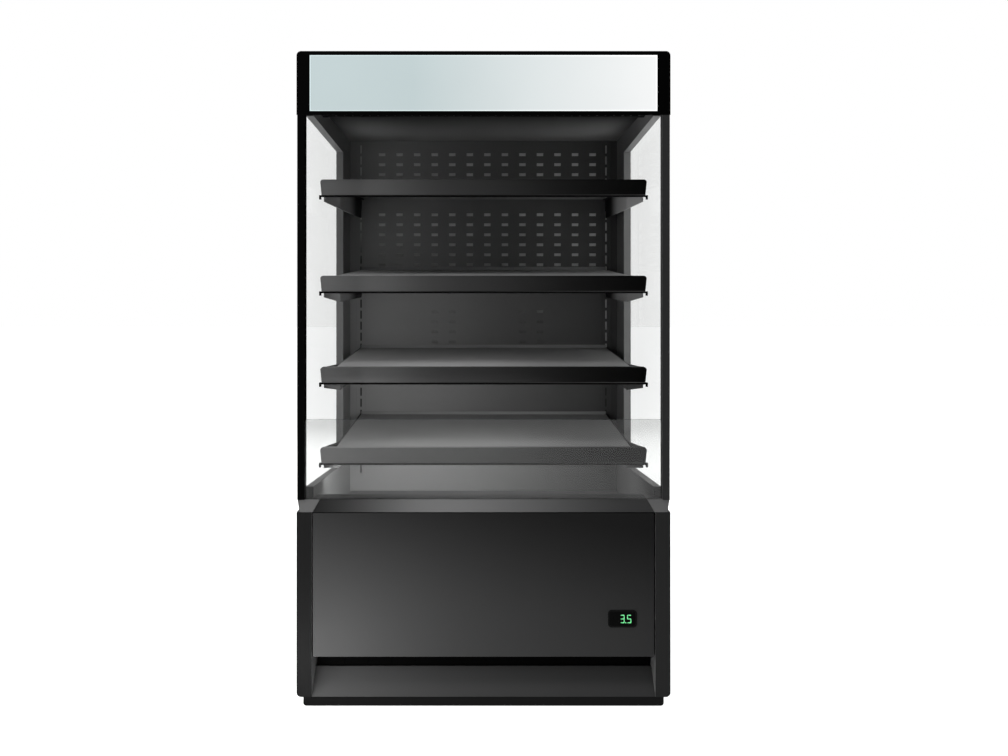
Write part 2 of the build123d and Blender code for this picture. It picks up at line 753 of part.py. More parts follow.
# ---------------------------------------------------------------- lining
def ceiling_panel():
    """Inner ceiling; its front edge turns down and forms a ledge for the honeycomb."""
    low = honeycomb_z - sheet
    outline = [
        (ceiling_front_y - ledge, low), (ceiling_front_y + sheet, low), (ceiling_front_y + sheet, ceiling_z),
        (back_panel_y - fit, ceiling_z), (back_panel_y - fit, ceiling_z + sheet),
        (ceiling_front_y, ceiling_z + sheet),
        (ceiling_front_y, honeycomb_z), (ceiling_front_y - ledge, honeycomb_z)]
    return run_x(outline, -liner_x, liner_x)


def honeycomb():
    """Straight-celled slab that lets the cold air curtain down."""
    y0, y1 = header_rear_y + fit, ceiling_front_y - fit
    slab = block(-liner_x, liner_x, y0, y1, honeycomb_z + fit, honeycomb_z + honeycomb_thickness)
    cell_y = (y1 - y0 - 2 * ledge - (honeycomb_rows - 1) * honeycomb_wall) / honeycomb_rows
    count = int((2 * liner_x - 2 * ledge) // (honeycomb_cell_x + honeycomb_wall))
    cells = []
    for row in range(honeycomb_rows):
        y = y0 + ledge + row * (cell_y + honeycomb_wall)
        for i in range(count):
            x = (i - (count - 1) / 2) * (honeycomb_cell_x + honeycomb_wall)
            cells.append(block(x - honeycomb_cell_x / 2, x + honeycomb_cell_x / 2, y, y + cell_y,
                               honeycomb_z - 1, honeycomb_z + honeycomb_thickness + 1))
    return slab - cells


def louvre_places():
    """Centre of every louvre's lower edge, as (x, z)."""
    places = []
    bands = ((top_row_drop, top_rows), (middle_row_drop, middle_rows), (low_row_drop, low_rows))
    for band, (drop, rows) in enumerate(bands):
        for row in range(rows):
            for column in range(louvre_columns):
                if band < 2 or column in low_columns:
                    places.append((louvre_first_x + column * louvre_pitch_x,
                                   ceiling_z - drop - row * louvre_pitch_z))
    return places


def louvre(x, z, cut):
    """One pressed louvre, open upwards: the hood's outside, or what is cut away behind it."""
    inset = louvre_sheet if cut else 0
    half = louvre_width / 2 - inset
    front_edge = back_panel_y - louvre_reach + inset
    knee, top = z + louvre_height * (1 - louvre_lip), z + louvre_height
    hood = [(back_panel_y, z + inset), (front_edge, knee), (front_edge, top + inset),
            (back_panel_y, top + inset)]
    back = back_panel_y + (sheet + 1 if cut else sheet / 2)
    return run_x([(back, z + inset)] + hood + [(back_panel_y, top), (back, top)], x - half, x + half)


def back_panel():
    """Sheet lining in front of the rear duct, with pressed louvres and two windows for the uprights."""
    rear = back_panel_y + sheet
    edge = upright_width / 2 + fit
    panel = block(-liner_x, liner_x, back_panel_y, rear, deck_seat_z - sheet, ceiling_z + sheet)
    panel += block(-liner_x, liner_x, back_panel_y - 3 * ledge, back_panel_y + sheet / 2,
                   deck_seat_z - sheet, deck_seat_z)
    for x in (-upright_x, upright_x):
        panel -= block(x - edge, x + edge, back_panel_y - 1, rear + 1, upright_bottom - fit, upright_top + fit)
    places = louvre_places()
    panel += [louvre(x, z, False) for x, z in places]
    panel -= [louvre(x, z, True) for x, z in places]
    return panel


def upright(side):
    """Slotted channel that the shelf brackets hook into."""
    x = side * upright_x
    half = upright_width / 2
    outer = block(x - half, x + half, back_panel_y, back_panel_y + upright_depth, upright_bottom, upright_top)
    channel = block(x - half + upright_sheet, x + half - upright_sheet, back_panel_y + upright_sheet,
                    back_panel_y + upright_depth + 1, upright_bottom - 1, upright_top + 1)
    slots = []
    for i in range(slot_count):
        low = slot_first + i * slot_pitch
        slots.append(block(x - slot_width / 2, x + slot_width / 2, back_panel_y - 1,
                           back_panel_y + upright_sheet + 1, low, low + slot_height))
    return outer - channel - slots


# ---------------------------------------------------------------- shelves
def hook_seat(step):
    """Height of the slot end that a hook sits on."""
    return slot_first + step * slot_pitch


def shelf_slope(number):
    """Tilt of a shelf, in degrees."""
    return math.degrees(math.asin(shelf_drop[number] / shelf_length))


def shelf_front_z(number):
    """Height of a shelf's upper surface at its front edge."""
    return hook_seat(shelf_steps[number]) + shelf_above_hook - shelf_drop[number]


def on_shelf(number, shape):
    """Place a piece drawn with the shelf's front upper edge at y = 0, z = 0."""
    return Pos(0, shelf_front_y, shelf_front_z(number)) * Rot(shelf_slope(number), 0, 0) * shape


def shelf_pan(number):
    """Folded steel tray with turned-down edges, a rear upstand and two stiffening ribs."""
    half = shelf_half_width
    pan = block(-half, half, 0, shelf_length, -shelf_flange + fit, 0)
    pan = fillet(edges_along(pan, Axis.X, lambda c: c.Z > -1 and c.Y < 1), edge_ease)
    pan -= block(-half + sheet, half - sheet, sheet, shelf_length - sheet, -shelf_flange - 1, -sheet)
    pan += block(-half, half, shelf_length - sheet, shelf_length, -sheet, shelf_upstand)
    for x in (-rib_spacing, 0, rib_spacing):
        rib = [(x - rib_width / 2, -sheet), (x - rib_width / 3, -shelf_flange * 0.6),
               (x + rib_width / 3, -shelf_flange * 0.6), (x + rib_width / 2, -sheet)]
        pan += run_y(rib, sheet / 2, shelf_length - sheet / 2)
    return on_shelf(number, pan)


def ticket_strip(number):
    """Price rail across the shelf's front, with the black light rail clipped under it."""
    y0, t = -strip_depth, strip_sheet
    low = -strip_height
    section = [
        (y0, 0), (0, 0), (0, -t), (y0 + t, -t), (y0 + t, low * 0.5), (0, low * 0.5), (0, low * 0.5 - t),
        (y0 + t, low * 0.5 - t), (y0 + t, low + t), (y0 + 3 * t, low + t), (y0 + 3 * t, low), (y0, low)]
    strip = run_x(section, -strip_half_width, strip_half_width)
    end = run_x([(y0, 0), (0, 0), (0, low * 0.5 - t), (y0 + 3 * t, low), (y0, low)], 0, t)
    strip += Pos(strip_half_width - t, 0, 0) * end
    strip += Pos(-strip_half_width, 0, 0) * end
    face = Polygon((-strip_half_width, 0), (strip_half_width, 0), (strip_half_width - strip_end_slant, low),
                   (-strip_half_width + strip_end_slant, low), align=None)
    face = fillet([v for v in face.vertices() if v.Y > -1], strip_corner)
    strip &= Pos(0, 1, 0) * extrude(Plane.XZ * face, strip_depth + 2, dir=(0, -1, 0))
    rail_x = strip_half_width + rail_overhang
    rail = block(-rail_x, rail_x, y0 - rail_proud, y0 + 3 * t, low - rail_height, low)
    for side in (-1, 1):
        outer, inner = side * rail_x, side * (rail_x - rail_hook_width)
        rail += block(min(outer, inner), max(outer, inner), y0 - rail_proud, y0 + 3 * t, low - rail_hook, low)
    return on_shelf(number, strip + rail)


def shelf_bracket(number):
    """Left or right bracket: a plate that flares out at the tip, two hooks and a ledge for the pan."""
    step = shelf_steps[number]
    front_z = shelf_front_z(number)
    rise = math.tan(math.radians(shelf_slope(number)))
    root_y = back_panel_y - bracket_seat_gap
    x0, x1 = bracket_inner_x, bracket_inner_x + bracket_thickness
    plan = [(x0, root_y), (x0, bracket_bend_y), (x0 + bracket_flare, bracket_tip_y),
            (x1 + bracket_flare, bracket_tip_y), (x1, bracket_bend_y), (x1, root_y)]
    plate = run_z(plan, front_z - bracket_bend_drop - 1, front_z + shelf_drop[number] + shelf_above_hook)
    top_tip = front_z + (bracket_tip_y - shelf_front_y) * rise - bracket_top_gap
    top_root = front_z + (root_y - shelf_front_y) * rise - bracket_top_gap
    side = [(bracket_tip_y, top_tip), (root_y, top_root), (root_y, front_z - bracket_root_drop),
            (bracket_bend_y, front_z - bracket_bend_drop), (bracket_tip_y, front_z - bracket_tip_drop)]
    plate &= run_x(side, x0 - 1, x1 + bracket_flare + 1)
    rest = block(x0 - bracket_ledge, x0 + 1, bracket_bend_y - shelf_front_y, shelf_length,
                 -shelf_flange - ledge_sheet, -shelf_flange)
    plate += on_shelf(number, rest)
    for seat in (hook_seat(step), hook_seat(step - hook_spacing)):
        behind = back_panel_y + upright_sheet + fit
        hook = [(root_y - 1, seat), (behind, seat), (behind, seat - hook_tongue),
                (behind + hook_reach / 2, seat - hook_tongue), (behind + hook_reach, seat - hook_tongue / 2),
                (behind + hook_reach, seat + hook_height * 0.6), (behind, seat + hook_height),
                (root_y - 1, seat + hook_height)]
        plate += run_x(hook, x0, x1)
    return plate


def shelf_brackets():
    """All four brackets of the right-hand side."""
    return Compound(children=[shelf_bracket(n) for n in range(shelf_count)])


# ---------------------------------------------------------------- deck and return grille
def deck_pan():
    """Lift-out deck over the tub, with turned-down edges and two finger holes."""
    half = deck_half_width
    pan = block(-half, half, deck_front_y, deck_rear_y, deck_seat_z + fit, deck_z)
    pan = fillet(edges_along(pan, Axis.X, lambda c: c.Z > deck_z - 1 and c.Y < 0), edge_ease)
    pan -= block(-half + sheet, half - sheet, deck_front_y + sheet, deck_rear_y - sheet, deck_seat_z - 1,
                 deck_z - sheet)
    for x in (-half / 2, half / 2):
        hole = Pos(x, deck_front_y + finger_hole_inset, deck_z) * SlotOverall(*finger_hole)
        pan -= extrude(hole, 2 * sheet, both=True)
    for x in (-half / 3, half / 3):
        rib = [(x - rib_width / 2, deck_z - sheet), (x - rib_width / 3, deck_z - deck_flange * 0.5),
               (x + rib_width / 3, deck_z - deck_flange * 0.5), (x + rib_width / 2, deck_z - sheet)]
        pan += run_y(rib, fan_plate_y + deck_rib_gap, deck_rear_y - sheet / 2)
    return pan


def return_grille():
    """Slotted grille that takes the air curtain back, with the front upstand and legs that carry it."""
    foot_z = tub_floor_top + fit
    back = deck_front_y - deck_play
    outline = [
        (back, foot_z), (back, deck_seat_z - sheet), (back + 2 * ledge, deck_seat_z - sheet),
        (back + 2 * ledge, deck_seat_z), (back, deck_seat_z), (back, grille_top),
        (grille_front_y, grille_top), (grille_front_y, grille_top - 3 * ledge),
        (grille_front_y + sheet, grille_top - 3 * ledge), (grille_front_y + sheet, grille_top - sheet),
        (back - sheet, grille_top - sheet), (back - sheet, foot_z)]
    grille = run_x(outline, -liner_x, liner_x)
    window = (2 * liner_x - (grille_windows + 1) * grille_leg) / grille_windows
    cuts = []
    for i in range(grille_windows):
        x = -liner_x + grille_leg + i * (window + grille_leg)
        cuts.append(block(x, x + window, back - 2 * sheet, back + sheet, foot_z - 1, deck_seat_z - 3 * ledge))
    count = int((2 * liner_x - 2 * grille_leg) // grille_slot_pitch)
    middle_y = (grille_front_y + back) / 2
    for i in range(count):
        x = (i - (count - 1) / 2) * grille_slot_pitch
        cuts.append(block(x - grille_slot_width / 2, x + grille_slot_width / 2,
                          middle_y - grille_slot_length / 2, middle_y + grille_slot_length / 2,
                          grille_top - 2 * sheet, grille_top + 1))
    return grille - cuts


# ---------------------------------------------------------------- coils and fans
def finned_coil(x0, x1, y0, y1, z0, z1, fins):
    """Heat exchanger: rows of fins on a core, end plates and the return bends of its tubes."""
    mid = (y0 + y1) / 2
    pitch = (x1 - x0) / fins
    core = pitch * fin_share
    half_fin = core / 2
    rear, front = [(x0, mid + core)], [(x0, mid - core)]
    for i in range(fins):
        x = x0 + (i + 0.5) * pitch
        left, right = x - half_fin, x + half_fin
        rear += [(left, mid + core), (left, y1), (right, y1), (right, mid + core)]
        front += [(left, mid - core), (left, y0), (right, y0), (right, mid - core)]
    rear.append((x1, mid + core))
    front.append((x1, mid - core))
    coil = run_z(rear + front[::-1], z0 + fin_inset, z1 - fin_inset)
    for x in (x0, x1 - sheet):
        coil += block(x, x + sheet, y0, y1, z0, z1)
    spacing = (z1 - z0) / (return_bends + 1)
    for i in range(return_bends):
        place = Pos(x1, mid, z0 + (i + 1) * spacing) * Rot(90, 0, 0) * Rot(0, 0, -90)
        coil += place * Torus(spacing / 4, coil_tube_radius, major_angle=180)
    return coil


def fan_rotor(x, z, radius, y0, depth, shaft_end):
    """Axial rotor: domed hub, twisted blades and the shaft that runs into the motor."""
    hub_radius = radius * hub_share
    rotor = rod_y(x, z, hub_radius, y0, y0 + depth)
    rotor = fillet(rotor.edges().sort_by(Axis.Y)[0 if shaft_end > y0 else -1], hub_radius * hub_share)
    low_y, high_y = min(y0 + depth / 2, shaft_end), max(y0 + depth / 2, shaft_end)
    rotor += rod_y(x, z, shaft_radius, low_y, high_y)
    mid_y = y0 + depth / 2
    root_plane = Plane((x + hub_radius * 0.8, mid_y, z), x_dir=(0, 1, 0), z_dir=(1, 0, 0))
    tip_plane = Plane((x + radius, mid_y, z), x_dir=(0, 1, 0), z_dir=(1, 0, 0))
    root = root_plane * Rot(0, 0, blade_root_angle) * Rectangle(hub_radius * 1.1, blade_thickness)
    tip = tip_plane * Rot(0, 0, blade_tip_angle) * Rectangle(radius * 0.75, blade_thickness)
    blade = loft([root, tip])
    blade &= rod_y(x, z, radius, y0 - radius, y0 + depth + radius)
    for i in range(blade_count):
        rotor += blade.rotate(Axis((x, 0, z), (0, 1, 0)), i * 360 / blade_count)
    return rotor


def fan_motor(x, z, radius, y0, y1, arm_y, arm_reach, bore_y):
    """Small motor with a bore for the rotor's shaft, on four arms that reach back to the fan's plate."""
    motor = rod_y(x, z, radius, y0, y1)
    motor = fillet(motor.edges().filter_by(GeomType.CIRCLE), edge_ease)
    strap_y = (y0 + y1) / 2
    outer = strap_y + math.copysign(motor_arm_sheet, arm_y - strap_y)
    half = motor_arm / 2
    for turn in (45, 135, 225, 315):
        spoke = block(radius * 0.7, arm_reach, min(strap_y, outer), max(strap_y, outer), -half, half)
        leg = block(arm_reach - motor_arm_sheet, arm_reach, min(strap_y, arm_y), max(strap_y, arm_y),
                    -half, half)
        motor += Pos(x, 0, z) * Rot(0, turn, 0) * (spoke + leg)
    return motor - rod_y(x, z, shaft_radius + thread_clearance, min(bore_y), max(bore_y))


def fan_plate():
    """Upright plate under the deck that carries the two evaporator fans."""
    half = fan_plate_half_width
    ring = evaporator_fan_radius + fan_gap
    rear = fan_plate_y + fan_ring_depth
    plate = block(-half, half, fan_plate_y, fan_plate_y + fan_ring_sheet, tub_floor_top + fit,
                  deck_z - sheet - 2 * fit)
    for x in (-evaporator_fan_x, evaporator_fan_x):
        plate += rod_y(x, evaporator_fan_z, ring, fan_plate_y, rear)
        plate -= rod_y(x, evaporator_fan_z, ring - fan_ring_sheet, fan_plate_y - 1, rear + 1)
    return plate


def evaporator_rotor(side):
    """Evaporator fan, its shaft towards the motor in front of the plate."""
    y0 = fan_plate_y - fan_inset
    return fan_rotor(side * evaporator_fan_x, evaporator_fan_z, evaporator_fan_radius, y0,
                     evaporator_fan_depth, y0 - motor_gap - shaft_in_motor)


def evaporator_motors():
    """The two equal evaporator fan motors."""
    y1 = fan_plate_y - fan_inset - motor_gap
    y0 = y1 - evaporator_motor_length
    reach = evaporator_fan_radius + fan_gap + evaporator_arm_reach
    bore_y = (y1 - motor_bore, y1 + 1)
    return Compound(children=[
        fan_motor(x, evaporator_fan_z, evaporator_motor_radius, y0, y1, fan_plate_y, reach, bore_y)
        for x in (-evaporator_fan_x, evaporator_fan_x)])


def condenser_shroud():
    """Shroud that draws all the fan's air through the condenser."""
    x0, x1 = condenser_x
    z0, z1 = condenser_bottom, condenser_bottom + condenser_height
    t = fan_ring_sheet
    ring = condenser_fan_radius + fan_gap
    shell = block(x0, x1, condenser_y[1] + fit, shroud_y, z0, z1)
    shell -= block(x0 + t, x1 - t, condenser_y[1] - 1, shroud_y - t, z0 + t, z1 - t)
    rear = shroud_y + fan_ring_depth
    shell += rod_y(condenser_mid_x, condenser_mid_z, ring, shroud_y - t, rear)
    return shell - rod_y(condenser_mid_x, condenser_mid_z, ring - t, shroud_y - 2 * t, rear + 1)


def condenser_rotor():
    """Condenser fan, its shaft towards the motor behind it."""
    y0 = shroud_y - fan_inset
    return fan_rotor(condenser_mid_x, condenser_mid_z, condenser_fan_radius, y0, condenser_fan_depth,
                     y0 + condenser_fan_depth + motor_gap + shaft_in_motor)


def condenser_motor():
    """Condenser fan motor on its four arms."""
    y0 = shroud_y - fan_inset + condenser_fan_depth + motor_gap
    reach = condenser_fan_radius + fan_gap + condenser_arm_reach
    return fan_motor(condenser_mid_x, condenser_mid_z, condenser_motor_radius, y0, y0 + condenser_motor_length,
                     shroud_y, reach, (y0 - 1, y0 + motor_bore))


# ---------------------------------------------------------------- machinery
def grommet_places():
    """The compressor's four feet, measured from its axis."""
    x, y = mount_plate[0] / 2 - mount_hole_inset, mount_plate[1] / 2 - mount_hole_inset
    return [(-x, -y), (x, -y), (-x, y), (x, y)]


def compressor():
    """Hermetic compressor: domed shell, mounting plate, terminal cover and pipe stubs."""
    z0 = base_top + grommet_height
    r, h = compressor_radius, compressor_height
    seam = z0 + h * 0.55
    shell = rod_z(0, 0, r, z0, z0 + h)
    shell = fillet(shell.edges().group_by(Axis.Z)[-1], r * 0.5)
    shell = fillet(shell.edges().group_by(Axis.Z)[0], r * 0.25)
    shell += rod_z(0, 0, r + seam_band, seam - seam_height / 2, seam + seam_height / 2)
    plate = extrude(Pos(0, 0, z0) * RectangleRounded(*mount_plate, mount_hole_inset), mount_plate_sheet)
    for x, y in grommet_places():
        plate -= rod_z(x, y, mount_hole_radius, z0 - 1, z0 + mount_plate_sheet + 1)
    reach, width, height = terminal_cover
    low = z0 + terminal_bottom
    terminals = block(r * 0.7, r + reach, -width / 2, width / 2, low, low + height)
    terminals = fillet(terminals.edges().filter_by(Axis.Y), box_round)
    stubs = rod_y(discharge_stub_x, discharge_z, tube_radius + 1, -r - stub_reach, -r / 2)
    stubs += rod_x(suction_stub_y, suction_z, tube_radius + 1, r / 2, r + stub_reach)
    return Pos(compressor_x, compressor_y, 0) * (shell + plate + terminals + stubs)


def grommets():
    """Four rubber feet under the compressor."""
    grommet = Cone(grommet_radius, grommet_radius * 0.75, grommet_height - fit)
    z = base_top + grommet_height / 2
    return Compound(children=[
        Pos(compressor_x + x, compressor_y + y, z) * grommet for x, y in grommet_places()])


def refrigerant_lines():
    """Discharge line, liquid line with its filter drier, and suction line up into the tub."""
    coil_x = condenser_x[1] + tube_seat_gap
    stub_x, stub_y = compressor_x + discharge_stub_x, compressor_y - compressor_radius - stub_reach
    riser_x, riser_y = condenser_x[1] + 2 * tube_bend, condenser_y[1] - tube_bend
    turn_y = stub_y - 3 * tube_bend
    discharge = tube([(stub_x, stub_y, discharge_z), (stub_x, turn_y, discharge_z),
                      (riser_x, turn_y, discharge_z), (riser_x, riser_y, discharge_z),
                      (coil_x, riser_y, discharge_z)], tube_bend, tube_radius)
    drier_x, drier_y = compressor_x + drier_offset, condenser_y[0] + drier_setback
    liquid_y, liquid_z = condenser_y[0] + liquid_inset, discharge_z - liquid_drop
    drier_z = liquid_z + drier_riser
    liquid = tube([(coil_x, liquid_y, liquid_z), (drier_x, liquid_y, liquid_z), (drier_x, drier_y, liquid_z),
                   (drier_x, drier_y, drier_z + tube_bend)], tube_bend, tube_radius)
    liquid += rod_z(drier_x, drier_y, drier_radius, drier_z, drier_z + drier_length)
    suction_x, suction_y = compressor_x + compressor_radius + stub_reach, compressor_y + suction_stub_y
    suction = tube([(suction_x, suction_y, suction_z), (line_hole_x, suction_y, suction_z),
                    (line_hole_x, pipes_y, suction_z), (line_hole_x, pipes_y, tub_floor_top + suction_reach)],
                   tube_bend, tube_radius)
    return Compound(children=[discharge, liquid, suction])


def drip_tray():
    """Tray under the drain, where the compressor's warmth dries the water off."""
    x0, x1 = tray_x
    y0, y1 = tray_y
    t = tray_sheet
    tray = block(x0, x1, y0, y1, base_top, base_top + tray_height)
    tray = fillet(tray.edges().filter_by(Axis.Z), tray_corner)
    well = block(x0 + t, x1 - t, y0 + t, y1 - t, base_top + t, base_top + tray_height + 1)
    return tray - fillet(well.edges().filter_by(Axis.Z), tray_corner - t)


# ---------------------------------------------------------------- panels round the base
def front_panel():
    """Service panel of folded sheet that turns on two pins at its top corners."""
    half = front_panel_half_width
    z0, z1 = front_panel_bottom, front_panel_top
    inner_y = front_panel_y + front_panel_return
    panel = block(-half, half, front_panel_y, inner_y, z0, z1)
    panel -= block(-half + panel_sheet, half - panel_sheet, front_panel_y + panel_sheet, inner_y + 1,
                   z0 + panel_sheet, z1 - panel_sheet)
    panel = fillet(edges_along(panel, Axis.X, lambda c: c.Y < front_panel_y + fit), panel_face_round)
    hole_x, hole_z = controller_body[0] / 2 + fit, controller_body[1] / 2 + fit
    panel -= block(controller_x - hole_x, controller_x + hole_x, front_panel_y - 1,
                   front_panel_y + 2 * panel_sheet, controller_z - hole_z, controller_z + hole_z)
    for side in (-1, 1):
        root, tip = side * (half - 6 * panel_sheet), side * (inner_x + panel_pin_reach - fit)
        panel += rod_x(panel_pivot_y, panel_pivot_z, panel_pin_radius, min(root, tip), max(root, tip))
    return panel


def controller():
    """Thermostat: a thin rounded bezel outside the panel and its body behind."""
    outline = RectangleRounded(controller_width, controller_height, controller_corner)
    bezel = Plane.XZ * Pos(controller_x, controller_z, 0) * outline
    bezel = Pos(0, front_panel_y, 0) * extrude(bezel, bezel_proud)
    margin = 2 * lens_margin - fit
    lens = Plane.XZ * Pos(controller_x, controller_z, 0) * RectangleRounded(
        controller_width - margin, controller_height - margin, controller_corner - lens_margin)
    half_x, half_z = controller_body[0] / 2, controller_body[1] / 2
    body = block(controller_x - half_x, controller_x + half_x, front_panel_y - bezel_proud / 2,
                 front_panel_y + controller_length, controller_z - half_z, controller_z + half_z)
    recess = Pos(0, front_panel_y - bezel_proud + lens_thickness, 0) * extrude(lens, 2 * lens_thickness)
    return bezel + body - recess


def display_window():
    """Dark lens over the digits."""
    outline = RectangleRounded(controller_width - 2 * lens_margin, controller_height - 2 * lens_margin,
                               controller_corner - lens_margin)
    lens = Plane.XZ * Pos(controller_x, controller_z, 0) * outline
    return Pos(0, front_panel_y - bezel_proud + lens_thickness, 0) * extrude(lens, lens_thickness - fit / 2)


def kick_panel():
    """Leaning kick plate of folded sheet; the air intake is the gap above it."""
    t = kick_sheet
    low = base_top + fit
    foot_rear_y = kick_top_y - kick_foot
    outline = [
        (kick_bottom_y, low), (kick_top_y, kick_top), (kick_top_y + t, kick_top),
        (kick_top_y + t, kick_top - kick_return), (kick_top_y, kick_top - kick_return),
        (kick_top_y, kick_top - t * 1.4), (kick_bottom_y + t * 1.6, low + t), (foot_rear_y, low + t),
        (foot_rear_y, low)]
    return run_x(outline, -liner_x, liner_x)


def air_filter():
    """Foam mat in a ribbed frame, upright behind the kick plate, that the room air passes on its way in."""
    half = inner_x - filter_side_gap
    low = base_top + fit
    mat = block(-half, half, filter_y, filter_y + filter_depth, low, filter_top)
    pitch = (2 * half - filter_rib) / filter_pockets
    pockets = []
    for i in range(filter_pockets):
        x = -half + filter_rib + i * pitch
        pockets.append(block(x, x + pitch - filter_rib, filter_y - 1, filter_y + filter_sink,
                             low + filter_rib, filter_top - filter_rib))
    return mat - pockets


def rear_grille():
    """Slotted cover of the machine compartment, cut out round the electrical box."""
    low = base_top + fit
    grille = block(-inner_fit_x, inner_fit_x, rear_grille_y, rear_grille_y + rear_sheet, low, rear_grille_top)
    y0, y1 = rear_grille_y - 1, rear_grille_y + rear_sheet + 1
    cuts = [block(box_x[0] - fit, box_x[1] + fit, y0, y1, base_top, box_top + fit)]
    for column in range(rear_slot_columns):
        x = -inner_fit_x + rear_slot_inset + column * (rear_slot_length + rear_slot_bridge)
        for row in range(rear_slot_rows):
            z = base_top + rear_slot_lift + row * rear_slot_pitch
            cuts.append(block(x, x + rear_slot_length, y0, y1, z, z + rear_slot_height))
    return grille - cuts


# ---------------------------------------------------------------- electrical parts
def electrical_box():
    """Closed wiring box; its rear face carries the two switches and the cable gland."""
    box = block(box_x[0], box_x[1], box_y[0], box_y[1], base_top, box_top)
    box = fillet(edges_along(box, Axis.X, lambda c: c.Y < box_y[0] + 1 and c.Z > box_top - 1), box_round)
    for x in switch_x:
        half_x, half_z = rocker_width / 2 + rocker_gap, rocker_length / 2 + 2 * rocker_gap
        box -= block(x - half_x, x + half_x, box_y[1] - 2 * rocker_depth, box_y[1] + 1,
                     switch_z - half_z, switch_z + half_z)
        box -= rod_x(box_y[1] - rocker_pivot_depth, switch_z, rocker_pin_radius + thread_clearance,
                     x - half_x - rocker_pin_reach, x + half_x + rocker_pin_reach)
    return box - rod_y(gland_x, gland_z, gland_bore, box_y[1] - gland_depth, box_y[1] + 1)


def rocker(x):
    """Rocker key, resting on its lower half, that turns on a pin across its pocket."""
    half = rocker_length / 2
    proud = rocker_pivot_depth + rocker_proud
    outline = [(proud - rocker_depth - 2, 0), (proud - rocker_depth, -half * 0.9), (proud, -half),
               (rocker_pivot_depth, 0), (proud, half), (proud - rocker_depth, half * 0.9)]
    key = run_x(outline, -rocker_width / 2, rocker_width / 2)
    pin = rocker_width / 2 + rocker_gap + rocker_pin_reach - fit
    key += rod_x(0, 0, rocker_pin_radius, -pin, pin)
    return Pos(x, box_y[1] - rocker_pivot_depth, switch_z) * Rot(rocker_tilt, 0, 0) * key


def cable_gland():
    """Gland for the mains lead: a hexagon, a domed nut and the bore."""
    gland = Plane.XZ * Pos(gland_x, gland_z, 0) * RegularPolygon(gland_radius, 6, major_radius=False)
    gland = Pos(0, box_y[1] + gland_reach / 2 + fit / 2, 0) * extrude(gland, gland_reach / 2)
    nut_y = box_y[1] + gland_reach / 2
    dome = rod_y(gland_x, gland_z, gland_radius * gland_dome, nut_y, box_y[1] + gland_reach)
    gland += fillet(dome.edges().filter_by(GeomType.CIRCLE).sort_by(Axis.Y)[-1], gland_round)
    return gland - rod_y(gland_x, gland_z, gland_bore, box_y[1] - 1, box_y[1] + gland_reach + 1)


# ---------------------------------------------------------------- write every sub-part
save("base_frame", base_frame())
for name, x, y in (("front_left", -foot_x, -foot_y), ("front_right", foot_x, -foot_y),
                   ("rear_left", -foot_x, foot_y), ("rear_right", foot_x, foot_y)):
    save(f"foot_{name}", foot(x, y))
for node, make in (("end_frame", end_frame), ("front_post", front_post), ("side_glass", side_glass),
                   ("shelf_brackets", shelf_brackets)):
    piece = make()
    save(f"{node}_right", piece)
    save(f"{node}_left", mirrored(piece))
save("tub", tub())
save("nose_rail", nose_rail())
save("nose_caps", nose_caps())
save("front_glass", front_glass())
save("back_wall", back_wall())
save("roof_panel", roof_panel())
save("header_box", header_box())
save("sign_panel", sign_panel())
save("led_battens", led_battens())
save("ceiling_panel", ceiling_panel())
save("honeycomb", honeycomb())
save("back_panel", back_panel())
save("upright_left", upright(-1))
save("upright_right", upright(1))
for number in range(shelf_count):
    save(f"shelf_pan_{number + 1}", shelf_pan(number))
    save(f"ticket_strip_{number + 1}", ticket_strip(number))
save("deck_pan", deck_pan())
save("return_grille", return_grille())
save("evaporator_coil", finned_coil(-evaporator_half_width, evaporator_half_width, *evaporator_y,
                                    tub_floor_top + fit, tub_floor_top + evaporator_height, evaporator_fins))
save("fan_plate", fan_plate())
save("evaporator_motors", evaporator_motors())
save("evaporator_fan_left", evaporator_rotor(-1))
save("evaporator_fan_right", evaporator_rotor(1))
save("condenser_coil", finned_coil(*condenser_x, *condenser_y, condenser_bottom + fit,
                                   condenser_bottom + condenser_height, condenser_fins))
save("condenser_shroud", condenser_shroud())
save("condenser_motor", condenser_motor())
save("condenser_fan", condenser_rotor())
save("compressor", compressor())
save("compressor_grommets", grommets())
save("refrigerant_lines", refrigerant_lines())
save("drip_tray", drip_tray())
save("front_panel", front_panel())
save("controller", controller())
save("display_window", display_window())
save("kick_panel", kick_panel())
save("air_filter", air_filter())
save("rear_grille", rear_grille())
save("electrical_box", electrical_box())
save("power_switch", rocker(switch_x[0]))
save("light_switch", rocker(switch_x[1]))
save("cable_gland", cable_gland())
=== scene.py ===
# %% [markdown]
# # An open multideck display fridge
# A shop's open cabinet: a lit sign box on top, glazed ends, four tilted shelves hooked into slotted
# uprights, a low front glass, and the machinery behind a dark service panel in the base.
# The shapes come from the CAD model, which is loaded as a frame that nothing here may move.
# This script gives each shape its finish and adds the small things that a CAD model leaves out.

# %% Load the frame
import bpy
import math
from mathutils import Matrix, Vector


